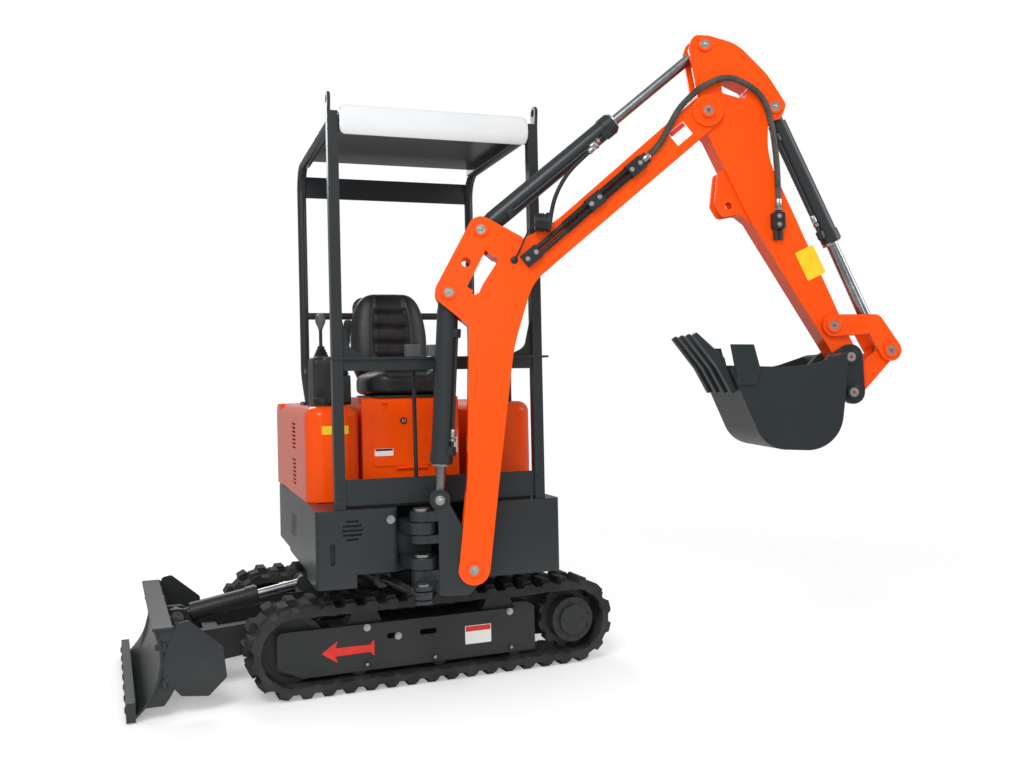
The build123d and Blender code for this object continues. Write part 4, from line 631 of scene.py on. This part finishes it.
def new_tree(name, inputs):
    """Geometry tree with a geometry input and output and named number inputs."""
    made = bpy.data.node_groups.new(name, "GeometryNodeTree")
    made.interface.new_socket("Geometry", in_out="INPUT", socket_type="NodeSocketGeometry")
    for label, value in inputs.items():
        socket = made.interface.new_socket(label, in_out="INPUT", socket_type="NodeSocketFloat")
        socket.default_value = value
    made.interface.new_socket("Geometry", in_out="OUTPUT", socket_type="NodeSocketGeometry")
    return made


def run_tree(source, tree_made, sizes):
    """Plain mesh that a tree makes from a source object, which is removed."""
    modifier = source.modifiers.new("nodes", "NODES")
    modifier.node_group = tree_made
    for item in tree_made.interface.items_tree:
        if item.in_out == "INPUT" and item.name in sizes:
            modifier[item.identifier] = sizes[item.name]
    return evaluated_mesh(source)


def repeated(tree_made, points, instance, turn=None):
    """One instance on every point, as real geometry."""
    links = {"Points": points, "Instance": instance}
    if turn is not None:
        links["Rotation"] = turn
    spots = add(tree_made, "GeometryNodeInstanceOnPoints", links)
    return add(tree_made, "GeometryNodeRealizeInstances", {0: spots})


def close_tree(tree_made, geometry, material):
    """Gives a tree's result its material and hands it out."""
    coated = add(tree_made, "GeometryNodeSetMaterial", {0: geometry, "Material": material})
    add(tree_made, "NodeGroupOutput", {0: coated})


bolt_tree = new_tree("bolt_heads", {"Head radius": 0.010, "Head height": 0.008, "Washer radius": 0.014})
start = add(bolt_tree, "NodeGroupInput")
washer = add(bolt_tree, "GeometryNodeMeshCylinder", {
    "Vertices": 20, "Radius": start.outputs["Washer radius"], "Depth": 0.004})
head = add(bolt_tree, "GeometryNodeMeshCylinder", {
    "Vertices": 6, "Radius": start.outputs["Head radius"], "Depth": start.outputs["Head height"]})
lift = add(bolt_tree, "ShaderNodeCombineXYZ", {2: times(bolt_tree, start.outputs["Head height"], 0.5)})
raised = add(bolt_tree, "GeometryNodeTransform", {"Geometry": head.outputs["Mesh"], "Translation": lift})
one = add(bolt_tree, "GeometryNodeJoinGeometry", {0: washer.outputs["Mesh"]})
bolt_tree.links.new(raised.outputs[0], one.inputs[0])
aim = add(bolt_tree, "GeometryNodeInputNamedAttribute", {"Name": "aim"}, data_type="FLOAT_VECTOR")
turn = add(bolt_tree, "FunctionNodeAlignRotationToVector", {"Vector": aim}, axis="Z")
whole = repeated(bolt_tree, start, one, turn)
close_tree(bolt_tree, add(bolt_tree, "GeometryNodeSetShadeSmooth", {0: whole, 2: False}), zinc_plate)


def bolts(name, body, spots_aims, head_mm, high_mm, washer_mm, material=zinc_plate):
    """Bolt heads at (point, outward aim) pairs in a body's drawing frame, as one plain mesh on it."""
    place = FRAME_OF.get(body, SWING)
    points = [place @ Vector(p) for p, _ in spots_aims]
    aims = [(place.to_3x3() @ Vector(a)).normalized() for _, a in spots_aims]
    mesh = bpy.data.meshes.new(name)
    mesh.from_pydata([tuple(p) for p in points], [], [])
    attribute = mesh.attributes.new("aim", "FLOAT_VECTOR", "POINT")
    attribute.data.foreach_set("vector", [c for a in aims for c in a])
    made = run_tree(linked(name + "_points", mesh), bolt_tree, {
        "Head radius": head_mm * MM, "Head height": high_mm * MM, "Washer radius": washer_mm * MM})
    made.name = name
    to_object(name, made, material, body)


def ring_of(centre, r, count, axis, phase=0.0):
    """Points on a circle about a drawing-frame axis, each aimed along it."""
    n = Vector(axis).normalized()
    u = n.orthogonal().normalized()
    v = n.cross(u)
    found = []
    for i in range(count):
        a = 2 * math.pi * (i + phase) / count
        found.append((Vector(centre) + u * r * math.cos(a) + v * r * math.sin(a), n))
    return found


gauge = 380.0
frame_face = gauge + 65
idler_x, sprocket_x, wheel_z = 590.0, -563.0, 180.0
belt_inner_r = 128.5
drive_bolts = []
flange_bolts = []
roller_bolts = []
for side in (-1, 1):
    out = (0, side, 0)
    drive_bolts += ring_of((sprocket_x, side * (gauge + 90), wheel_z), 78, 9, out)
    drive_bolts += ring_of((sprocket_x, side * (gauge + 104), wheel_z), 40, 2, out, 0.25)
    for x, z in ((308, 236), (-290, 236), (184, 190)):
        flange_bolts.append(((x, side * frame_face, z), out))
    for x, z in ((312, 96), (37, 92), (-290, 92)):
        roller_bolts.append(((x, side * frame_face, z), out))
bolts("final_drive_bolts", "undercarriage", drive_bolts, 6, 6, 8, charcoal_low)
bolts("track_frame_bolts", "undercarriage", flange_bolts, 8, 8, 14)
bolts("roller_bolts", "undercarriage", roller_bolts, 9, 10, 17, charcoal_low)
bolt_ends = [((p[0], p[1] + a[1] * 10, p[2]), a) for p, a in roller_bolts]
bolts("roller_bolt_ends", "undercarriage", bolt_ends, 5, 3, 6)
bolts("slew_ring_bolts", "undercarriage", ring_of((0, 0, 360), 240, 20, (0, 0, -1)), 9, 8, 12)
edge_bolts = [((1186, y, 42), (1, 0, 0)) for y in range(-450, 451, 150)]
bolts("cutting_edge_bolts", "blade_body", edge_bolts, 11, 5, 15, charcoal_tool)

post_bolts = []
for side in (-1, 1):
    for z in (760, 800):
        post_bolts.append(((587, side * 398, z), (1, 0, 0)))
    for x, dy in ((-245, -24), (-245, 24), (-145, -24), (-145, 24)):
        post_bolts.append(((x, side * 398 + dy, 1104), (0, 0, 1)))
bolts("canopy_bolts", "house", post_bolts, 8, 6, 11, charcoal_coat)
bolts("front_box_bolt", "house", [((600, -212, 668), (1, 0, 0))], 11, 8, 16)
print("bolt meshes ready")

# %% [markdown]
# ## Track belt: core ends on the inside
# Steel cores are vulcanised into the belt, one per lug, and their ends show as low blocks on the belt's
# inner face. They follow the belt's path, so Geometry Nodes place one tapered block at even steps along
# that closed line.

# %% Core ends along the belt
core_tree = new_tree("belt_cores", {"Count": 40.0, "Length": 0.034, "Width": 0.040, "Height": 0.005})
wide_core, narrow_core = 0.040, 0.030
start = add(core_tree, "NodeGroupInput")
even = add(core_tree, "GeometryNodeResampleCurve", {"Curve": start, "Count": start.outputs["Count"]})
size = add(core_tree, "ShaderNodeCombineXYZ", {
    0: start.outputs["Length"], 1: start.outputs["Width"], 2: start.outputs["Height"]})
block = add(core_tree, "GeometryNodeMeshCube", {"Size": size})
top = add(core_tree, "GeometryNodeInputPosition")
parts = add(core_tree, "ShaderNodeSeparateXYZ", {0: top})
above = add(core_tree, "FunctionNodeCompare", {0: parts.outputs["Z"], 1: 0.0}, operation="GREATER_THAN")
narrow = add(core_tree, "ShaderNodeVectorMath", {0: top, 1: (0.72, 0.86, 1.0)}, operation="MULTIPLY")
taper = add(core_tree, "GeometryNodeSetPosition", {
    "Geometry": block, "Selection": above, "Position": narrow})
along = add(core_tree, "GeometryNodeInputTangent")
turn = add(core_tree, "FunctionNodeAlignRotationToVector", {"Vector": along}, axis="X", pivot_axis="Y")
close_tree(core_tree, repeated(core_tree, even, taper, turn), track_rubber)


def belt_line(name, y, r):
    """Closed line of a belt face: two half circles about the wheels joined by straight runs."""
    points = []
    for centre, first in ((idler_x, -90), (sprocket_x, 90)):
        for i in range(33):
            a = math.radians(first + i * 180 / 32)
            points.append((centre + r * math.cos(a), y, wheel_z + r * math.sin(a)))
    data, line = curve_line(name, "POLY", points, BASE)
    line.use_cyclic_u = True
    return linked(name, data)


for side, label in ((-1, "right"), (1, "left")):
    for offset, part in ((92, "outer"), (-98, "inner")):
        name = f"belt_cores_{label}_{part}"
        source = belt_line(name + "_line", side * gauge + side * offset, belt_inner_r)
        mesh = run_tree(source, core_tree, {"Count": 40, "Width": wide_core if offset > 0 else narrow_core})
        to_object(name, mesh, track_rubber, "undercarriage")
print("belt cores ready")

# %% [markdown]
# ## Blank plates and the arrow
# The machine carries printed film: an arrow on the side frame that points to its front, and plates whose
# text is left out. They are thin films with eased corners, laid 0.2 mm off the paint, with a coloured
# head band as on the real ones.

# %% Films


def film_plate(name, body, centre, out, up, w, h, colours):
    """Blank film plate: one field, and a head band of a second colour when two colours are given."""
    at = aimed(centre, out, up)
    plate_piece(name, rectangle(w, h), 0.5, shifted(at, 0, 0, 0.2), film[colours[0]], body, round_mm=4)
    if len(colours) > 1:
        band_at = shifted(at, 0, h * 0.33, 0.75)
        band = rectangle(w - 5, h * 0.28)
        plate_piece(name + "_band", band, 0.3, band_at, film[colours[1]], body, round_mm=2)


arrow = [(0, 0), (62, 42), (54, 16), (190, 14), (206, 32), (206, -32), (190, -14), (54, -16), (62, -42)]
for side, label in ((1, "left"), (-1, "right")):
    outline = [(u * side, v) for u, v in arrow]
    bm = bmesh.new()
    plate(bm, outline, 0.5, aimed((487, side * (frame_face + 0.2), 155), (0, side, 0)), rim=0)
    to_object("direction_arrow_" + label, from_bmesh("direction_arrow", bm, BASE), film["red"],
              "undercarriage")
    film_plate("side_frame_plate_" + label, "undercarriage", (-150, side * frame_face, 160), (0, side, 0),
               (0, 0, 1), 112, 74, ("white", "red"))
front, right, up = (1, 0, 0), (0, -1, 0), (0, 0, 1)
film_plate("boom_tip_plate", "boom_body", (1000, -62, 2100), right, (-0.63, 0, 0.78), 74, 60,
           ("white", "red"))
film_plate("arm_plate", "arm_body", (1499, -50, 1610), right, (-0.42, 0, 0.91), 78, 118, ("yellow",))
film_plate("fender_plate", "house", (300, -366, 1000), front, up, 108, 34, ("yellow",))
film_plate("door_plate", "access_door_body", (256, -160, 900), front, up, 78, 30, ("white", "black"))
film_plate("panel_plate", "house", (250, 140, 935), front, up, 34, 96, ("white", "red"))
print("films ready")

# %% [markdown]
# ## Hoses, spring guards and fittings
# Hydraulic hoses are stiff black rubber with steel crimp fittings. Where they rub, a wire spring is wound
# round them. The spring follows its hose, so Geometry Nodes turn a straight run of points into a helix
# about the hose's own line.

# %% Spring guard tree and the elbow hose
spring_tree = new_tree("spring_guard", {"Turns": 30.0, "Radius": 0.0115, "Wire": 0.0016})
start = add(spring_tree, "NodeGroupInput")
steps = times(spring_tree, start.outputs["Turns"], 12.0)
even = add(spring_tree, "GeometryNodeResampleCurve", {"Curve": start, "Count": steps})
share = add(spring_tree, "GeometryNodeSplineParameter")
turns = times(spring_tree, share.outputs["Factor"], start.outputs["Turns"])
angle = times(spring_tree, turns, 2 * math.pi)
across = add(spring_tree, "GeometryNodeInputNormal")
along = add(spring_tree, "GeometryNodeInputTangent")
third = add(spring_tree, "ShaderNodeVectorMath", {0: along, 1: across}, operation="CROSS_PRODUCT")
swing = []
for source, way in ((across, "COSINE"), (third, "SINE")):
    wave = add(spring_tree, "ShaderNodeMath", {0: angle}, operation=way)
    reach = times(spring_tree, wave, start.outputs["Radius"])
    swing.append(add(spring_tree, "ShaderNodeVectorMath", {0: source, "Scale": reach}, operation="SCALE"))
push = add(spring_tree, "ShaderNodeVectorMath", {0: swing[0], 1: swing[1]}, operation="ADD")
wound = add(spring_tree, "GeometryNodeSetPosition", {"Geometry": even, "Offset": push})
wire = add(spring_tree, "GeometryNodeCurvePrimitiveCircle", {
    "Resolution": 5, "Radius": start.outputs["Wire"]})
body = add(spring_tree, "GeometryNodeCurveToMesh", {"Curve": wound, "Profile Curve": wire, "Fill Caps": True})
close_tree(spring_tree, body, hose_rubber)


def spring_on(name, points, r, turns_count, material, body):
    """Finished wire spring wound on a hose whose control points are given."""
    source = linked(name + "_line", spline(name + "_line", points))
    mesh = run_tree(source, spring_tree, {"Turns": float(turns_count), "Radius": (r + 1.2) * MM})
    mesh.shade_smooth()
    return to_object(name, mesh, material, body)


def crimp(bm, point, way, r):
    """Steel hose end: collar, hexagon nut and a short stem, from a point along a direction."""
    at = aimed(point, way, (0, 1, 0.01))
    turned(bm, [(r + 1, 0), (r + 3, 3), (r + 3, 26), (r + 1, 30), (r * 0.7, 31), (r * 0.7, 40)], at, 16)
    turned(bm, [(r + 3, 33), (r + 5, 34), (r + 5, 45), (r + 3, 46)], at, 6)


def crimp_piece(name, point, way, r, body):
    bm = bmesh.new()
    crimp(bm, point, way, r)
    piece(name, bm, zinc_plate, body)


elbow = [(868, 2010), (890, 2029), (918, 2058), (958, 2130), (1000, 2205), (1075, 2268), (1165, 2316),
         (1250, 2290), (1325, 2230), (1352, 2120), (1366, 1990), (1368, 1890), (1368, 1845)]
hose_y, hose_r = -78.0, 10.5
route = [(t, hose_y, z) for t, z in elbow]
made = hose("elbow_hose_cover", route, hose_r, hose_wrap, None)
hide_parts("elbow_hose")
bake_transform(made)
guard = spring_on("elbow_spring_guard", route[:6], hose_r, 40, hose_wrap, None)
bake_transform(guard)
lower = spring_on("arm_spring_guard", route[5:-1], hose_r, 64, hose_wrap, None)
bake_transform(lower)
crimp_piece("arm_hose_ends", (1368, hose_y, 1850), (0, 0, -1), hose_r, "arm_body")
crimp_piece("boom_hose_ends", (876, hose_y, 2016), (-0.77, 0, -0.64), hose_r, "boom_body")

across_t, across_z = 0.6362, -0.7716
guard_lines = {
    "low": ((550, 1744.8), (600, 1787), (640, 1821)),
    "high": ((695, 1867), (745, 1908.6), (795, 1949.8)),
}
guards = []
for shift in (-12, 12):
    for part, line in guard_lines.items():
        guards.append((part, [(t + shift * across_t, hose_y, z + shift * across_z) for t, z in line]))
for i, (part, run) in enumerate(guards):
    spring_on(f"boom_spring_guard_{part}_{i}", run, 9, 26, hose_rubber, "boom_body")
clamp_bolts = []
for t, z in ((425, 1643), (667, 1845), (822, 1972)):
    for shift in (-20, 20):
        clamp_bolts.append(((t + shift * 0.777, -92, z + shift * 0.629), (0, -1, 0)))
bolts("hose_clamp_bolts", "boom_body", clamp_bolts, 6, 5, 9)
block_bolts = [((1369, -84, z), (0, -1, 0)) for z in (1752, 1784)]
bolts("arm_block_bolts", "arm_body", block_bolts, 6, 5, 9)
print("hoses ready")

# %% [markdown]
# ## Pin collars and grease caps
# Each cross pin ends in a boss: a painted collar stands round a bright pin end, and some ends carry a red
# grease cap. The collars are closed rings, turned about each pin's axis, so that only the middle of the
# bright head stays in sight.

# %% Pin collars on both sides
pin_ends = [
    ("boom_body", orange_enamel, 70.0, ((116, 1515), (240, 1745)), False),
    ("boom_body", orange_enamel, 80.0, ((1106, 2186),), True),
    ("swing_body", orange_enamel, 72.0, ((189, 485),), False),
    ("swing_body", charcoal_coat, 54.0, ((68, 745),), False),
    ("arm_body", orange_enamel, 58.0, ((1104, 2442), (1372, 2207)), False),
    ("rocker", orange_enamel, 78.0, ((1578, 1368), (1802, 1270)), True),
    ("bucket_body", charcoal_tool, 85.0, ((1639, 1247), (1648, 1112)), True),
]
collar = [(17.5, 0.1), (18.4, 1.5), (26.4, 1.5), (28.2, 0.2), (28.2, -7.5)]
cap = [(6.5, 0.0), (6.5, 1.6), (4.5, 3.2), (1.5, 3.8)]
for i, (body, finish, reach, places, capped) in enumerate(pin_ends):
    rings = bmesh.new()
    caps = bmesh.new()
    for t, z in places:
        for side in (-1, 1):
            at = aimed((t, side * reach, z), (0, side, 0))
            turned(rings, collar, at, 32, closed=True)
            turned(caps, cap, at, 14)
    piece(f"pin_collars_{i}", rings, finish, body)
    piece(f"grease_caps_{i}", caps, red_plastic if capped else zinc_plate, body)
print("pin ends ready")

# %% [markdown]
# ## Cylinder lines, ports and hoses
# The boom's three cylinders have a port block at each end and a hard steel line along the barrel. On the
# arm cylinder a short hose joins the line to the boom; it stays where it is drawn and rides on no body.

# %% Lines on the barrels


def along_axis(a, b, s, side, y):
    """Point in the swing frame: s along the line from pin a to pin b, offset to its right by side, at y."""
    d = Vector((b[0] - a[0], b[1] - a[1])).normalized()
    return (a[0] + d.x * s + d.y * side, y, a[1] + d.y * s - d.x * side)


def barrel_line(name, body, a, b, r, first, last, degrees, gland):
    """Port blocks, hard line and gland ring on a barrel of radius r, the line turned about its axis."""
    turn = math.radians(degrees)
    side, y = (r + 9) * math.cos(turn), -(r + 9) * math.sin(turn)
    points = [along_axis(a, b, s, side, y) for s in (first, first + 60, last - 60, last)]
    hose(name, points, 5.5, charcoal_coat, body)
    foot = Vector(along_axis(a, b, 0, 0, 0))
    way = Vector(along_axis(a, b, 1, 0, 0)) - foot
    out = Vector(along_axis(a, b, 0, math.cos(turn), -math.sin(turn))) - foot
    crimp_piece(name + "_end", along_axis(a, b, last - 82, side, y), way, 7, body)
    bm = bmesh.new()
    for s in (first, last):
        at = aimed(along_axis(a, b, s, (r - 4) * math.cos(turn), -(r - 4) * math.sin(turn)), out, way)
        plate(bm, rectangle(26, 34), 22, at, round_mm=5, rim=2)
    piece(name + "_ports", bm, charcoal_coat, body)
    at = aimed(along_axis(a, b, gland, 0, 0), way, (0, 1, 0))
    ring = [(r * 0.66, 0), (r * 0.71, 1.5), (r * 0.75, 6), (r * 0.9, 7), (r * 0.9, -4), (r * 0.66, -4)]
    turned_piece(name + "_gland", ring, at, 32, zinc_plate, body, closed=True)


arm_axis = ((240, 1745), (1104, 2442))
bucket_axis = ((1372, 2207), (1740, 1372))
boom_axis = ((116, 1515), (68, 745))
barrel_line("arm_cylinder_line", "arm_cylinder", *arm_axis, 38, 130, 600, 62, 656)
barrel_line("bucket_cylinder_line", "bucket_cylinder", *bucket_axis, 35, 110, 520, 40, 565)
barrel_line("boom_cylinder_line", "boom_cylinder", *boom_axis, 40, 150, 590, 140, 640)

# %% Ground chrome sleeves on the rods
skin_gap = 0.04


def rod_sleeve(name, body, a, b, r, start, eye):
    """Smooth chrome skin close over a rod, from its inner end to its eye."""
    long = math.hypot(b[0] - a[0], b[1] - a[1])
    way = Vector((b[0] - a[0], 0, b[1] - a[1]))
    at = aimed((a[0], 0, a[1]), way, (0, 1, 0))
    profile = [(r + skin_gap, start), (r + skin_gap, long - eye * 0.75)]
    turned_piece(name, profile, at, 96, hard_chrome, body)


rod_sleeve("boom_rod_skin", "boom_piston", *boom_axis, 20, 120, 34)
rod_sleeve("arm_rod_skin", "arm_piston", *arm_axis, 19, 440, 32)
rod_sleeve("bucket_rod_skin", "bucket_piston", *bucket_axis, 17.5, 480, 30)
rod_sleeve("blade_rod_skin", "blade_piston", (985, 262), (470, 352), 19, 200, 30)

# %% Hose from the arm cylinder to the boom, and the swing rod's eye
arm_hose = [(652, -42, 2034), (618, -44, 2004), (570, -46, 1956), (530, -46, 1890), (508, -44, 1826),
            (500, -40, 1766)]
made = hose("arm_cylinder_hose", arm_hose, 8, hose_rubber, None)
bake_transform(made)
crimp_piece("arm_hose_fitting", arm_hose[0], (0.74, 0, 0.67), 8, "arm_cylinder")
turned_piece("boom_hose_grommet", [(17, -6), (17, 3), (12, 6), (10, 14), (9, 15)],
             aimed((500, -40, 1760), (0.05, 0, 1)), 20, black_plastic, "boom_body")
eye_ring = [(14.5, 407), (33, 407), (34, 409), (34, 431), (33, 433), (14.5, 433)]
turned_piece("swing_rod_eye", eye_ring, aimed((0, -160, 0), (0, 0, 1)), 32, charcoal_coat, "swing_piston",
             closed=True)
print("barrel lines ready")

# %% [markdown]
# ## Work lamp
# The lamp is a finned round housing with a clear lens in a bezel, on a small bracket. Its wire runs into
# the boom.

# %% Lens, bezel, fins and wire
lamp_at = aimed((492, -100, 1764), (1, 0, 0))
lens = [(0.5, -5.5), (26.5, -5.5), (26.0, -3.0), (18, 0.5), (8, 1.8), (0.5, 2.0)]
turned_piece("lamp_lens", lens, lamp_at, 36, lamp_lens, "boom_body")
bm = bmesh.new()
turned(bm, [(27, -4), (27, 1.5), (30, 3), (35.5, 1.5), (35.5, -9), (33, -9)], lamp_at, 36, closed=True)
for k in range(5):
    z = -22 - k * 6.5
    turned(bm, [(29, z), (34, z), (34, z - 2.5), (29, z - 2.5)], lamp_at, 28, closed=True)
piece("lamp_bezel_and_fins", bm, black_plastic, "boom_body")
lamp_route = [(438, -100, 1758), (416, -96, 1740), (396, -84, 1700), (380, -74, 1660), (362, -64, 1632)]
hose("lamp_wire", lamp_route, 3, hose_rubber, "boom_body")
turned_piece("wire_grommet", [(14, 0), (14, 4), (9, 7), (4, 8)], aimed((361, -62, 1630), (0, -1, 0)), 20,
             black_plastic, "boom_body")

# %% [markdown]
# ## Controls
# Two pilot levers with pleated boots stand on pods beside the seat. The travel levers in front of it have
# grey moulded grips, the thin levers on the consoles have grey knobs, and the door and panel under the
# seat carry a lock and a latch. The fuel cap is ribbed for the hand.

# %% Pods, boots, grips and knobs
pod = [(-58, 0), (58, 0), (46, 118), (-52, 126)]
grip_profile = [(9, 120), (15, 126), (17, 150), (14, 175), (17, 205), (19, 228), (15, 240), (5, 244)]
knob_profile = [(9, -24), (12, -14), (20.6, 4), (22, 20), (18, 35), (9, 42), (2, 43)]
boot_profile = [(30, 0), (31, 6), (25, 12), (27, 17), (20, 23), (22, 28), (15, 34), (16, 39), (10, 47)]
bm = bmesh.new()
boots = bmesh.new()
grips = bmesh.new()
for side in (-1, 1):
    plate(bm, pod, 56, aimed((96, side * 300 - 28, 1097), (0, 1, 0), (0, 0, 1)), round_mm=14, rim=5)
    lean = Vector((0.22, -side * 0.10, 1.0))
    at = aimed((96, side * 300, 1216), lean, (1, 0, 0))
    pleats = [(27, 0)]
    for k in range(7):
        r = 26 - k * 2.3
        pleats += [(r + 3.5, 5 + k * 12), (r - 2.5, 11 + k * 12)]
    turned(boots, pleats + [(8, 90), (7, 130)], at, 28)
    turned(grips, grip_profile, at, 24)
piece("pilot_pods", bm, black_plastic, "house")
piece("pilot_boots", boots, hose_rubber, "house")
piece("pilot_grips", grips, black_plastic, "house")

bm = bmesh.new()
boots = bmesh.new()
for side in (-1, 1):
    knob = aimed((90, side * 385, 1440), (0, 0, 1))
    turned(bm, knob_profile, knob, 24)
    boot = aimed((90, side * 385, 1300), (0, 0, 1))
    turned(boots, boot_profile, boot, 24)
    lever = aimed((487, seat_mid + side * 43, 1287), (0, 0, 1), (1, 0, 0))
    plate(bm, rectangle(63, 33), 45, lever, round_mm=9, rim=6)
    turned(bm, [(10, -52), (12, -48), (12, 2)], lever, 20)
piece("lever_grips", bm, grey_plastic, "house")
piece("lever_boots", boots, hose_rubber, "house")

# %% Lock, latch and fuel cap
lock_at = aimed((256, -76, 1028), (1, 0, 0))
turned_piece("door_lock_body", [(14, 0), (14, 5), (12, 7), (9, 7.2)], lock_at, 24, black_plastic,
             "access_door_body")
bm = bmesh.new()
turned(bm, [(8.5, 7), (8.5, 8), (7, 8.6), (1, 8.7)], lock_at, 20)
plate(bm, rectangle(2.2, 10), 2.0, shifted(lock_at, 0, 0, 8.2), rim=0)
piece("door_lock_barrel", bm, zinc_plate, "access_door_body")
bm = bmesh.new()
latch_at = aimed((250, -158, 1106), (1, 0, 0))
plate(bm, rectangle(34, 22), 3, latch_at, round_mm=5, rim=1)
turned(bm, [(7, 3), (7, 10), (10, 12), (10, 18), (7, 20)], latch_at, 20)
piece("seat_latch", bm, orange_enamel, "house")
bm = bmesh.new()
cap_at = aimed((216, -400, 1096), (0, 0, 1))
turned(bm, [(30, 0), (30, 12), (36, 14), (36, 30), (32, 35), (12, 37), (1, 37)], cap_at, 24)
for k in range(12):
    a = 2 * math.pi * k / 12
    plate(bm, rectangle(7, 5), 17, shifted(cap_at, 36.5 * math.cos(a), 36.5 * math.sin(a), 14), rim=1)
piece("fuel_cap", bm, black_plastic, "house")

# %% [markdown]
# ## Floor mat
# The floor is covered by a ribbed rubber mat. Geometry Nodes repeat one rib across it.

# %% Ribbed mat
mat_tree = new_tree("ribbed_mat", {"Count": 30.0, "Pitch": 0.012, "Long": 0.20, "Rib": 0.005})
start = add(mat_tree, "NodeGroupInput")
step = add(mat_tree, "ShaderNodeCombineXYZ", {1: start.outputs["Pitch"]})
row = add(mat_tree, "GeometryNodeMeshLine", {"Count": start.outputs["Count"], "Offset": step}, mode="OFFSET")
size = add(mat_tree, "ShaderNodeCombineXYZ", {
    0: start.outputs["Long"], 1: start.outputs["Rib"], 2: start.outputs["Rib"]})
rib = add(mat_tree, "GeometryNodeMeshCube", {"Size": size})
close_tree(mat_tree, repeated(mat_tree, row, rib), track_rubber)
seed = bpy.data.meshes.new("mat_seed")
seed.from_pydata([(0, 0, 0)], [], [])
mat_sizes = {"Count": 28.0, "Pitch": 0.013, "Long": 0.214, "Rib": 0.005}
ribbed = run_tree(linked("mat_seed", seed), mat_tree, mat_sizes)
ribbed.transform(HOUSE @ Matrix.Translation((378, -218, 725.5)) @ Matrix.Scale(1000, 4))
to_object("floor_mat_ribs", ribbed, track_rubber, "house")
mat_at = aimed((378, -42, 724.2), (0, 0, 1), (0, 1, 0))
plate_piece("floor_mat", rectangle(240, 390), 1.5, mat_at, track_rubber, "house",
            round_mm=14, rim=0.4)
print("controls and mat ready")

# %% [markdown]
# ## Roof visor, blade wings and a painted-shade plate
# A white sheet is bent over the front of the roof, with soft ends between the posts. The blade carries
# two wings, plain plates with eased corners, on hinges at its ends. A dark plate over the panel below the
# access door is painted shade: it stands for the shadow that falls there, not for a part.

# %% Painted-shade plate below the door
# Charcoal plate laid over the orange panel below the door: painted shade where shadow falls.
painted_shade_at = aimed((250.5, seat_mid, 622), (1, 0, 0), (0, 0, 1))
plate_piece("seat_base_painted_shade", rectangle(414, 240), 2, painted_shade_at, charcoal_coat, "house", round_mm=6, rim=0.5)

# %% Visor
visor_line = [(448, 2208), (545, 2209), (566, 2214), (577, 2226), (588, 2229), (596, 2218), (599, 2190),
              (599, 2155), (595, 2128), (588, 2119)]
mid, half, corner = 2174, 374, 24
visor_bend_x, sheet = 550, 4


def drawn_in(x, z, drop):
    """Height drawn towards the visor's middle where its ends are rounded, in front of the roof only."""
    if x <= visor_bend_x:
        return z
    return z - math.copysign(min(drop, abs(z - mid)), z - mid)


spans = [-half + corner * (1 - math.cos(math.radians(a))) for a in range(0, 91, 15)]
stations = spans + [-y for y in reversed(spans)]
bm = bmesh.new()
rows = []
for y in stations:
    over = max(0.0, abs(y) - (half - corner))
    drop = corner - math.sqrt(max(0.0, corner ** 2 - over ** 2))
    row = [bm.verts.new((x, y, drawn_in(x, z, drop))) for x, z in visor_line]
    for x, z in reversed(visor_line):
        row.append(bm.verts.new((x - sheet * (x > visor_bend_x), y, drawn_in(x, z, drop) - 3 * (z > mid))))
    rows.append(row)
for low, high in zip(rows, rows[1:]):
    for i in range(len(low)):
        j = (i + 1) % len(low)
        bm.faces.new((low[i], low[j], high[j], high[i]))
bm.faces.new(list(reversed(rows[0])))
bm.faces.new(rows[-1])
made = piece("roof_visor", bm, white_enamel, "house")
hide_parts("roof_panel")

# %% Blade wings
wing = [(1062, 150), (1062, 215), (1010, 338), (972, 345), (852, 240), (840, 125), (905, 64), (1000, 76)]
bm = bmesh.new()
for side in (-1, 1):
    at = aimed((0, side * 482, 0), (0, side, 0))
    outline = [(-x * side, z) for x, z in wing]
    plate(bm, outline, 9, shifted(at, 0, 0, -4.5), round_mm=14, rim=1.2)
    for z in (110, 240):
        turned(bm, [(11, 0), (11, 34)], aimed((1056, side * 482, z), (0, 0, 1)), 20)
        plate(bm, rectangle(60, 24), 6, aimed((1056, side * 472, z + 17), (0, side, 0)), round_mm=6, rim=1)
piece("blade_wings", bm, charcoal_tool, "blade_body")
print("visor and wings ready")
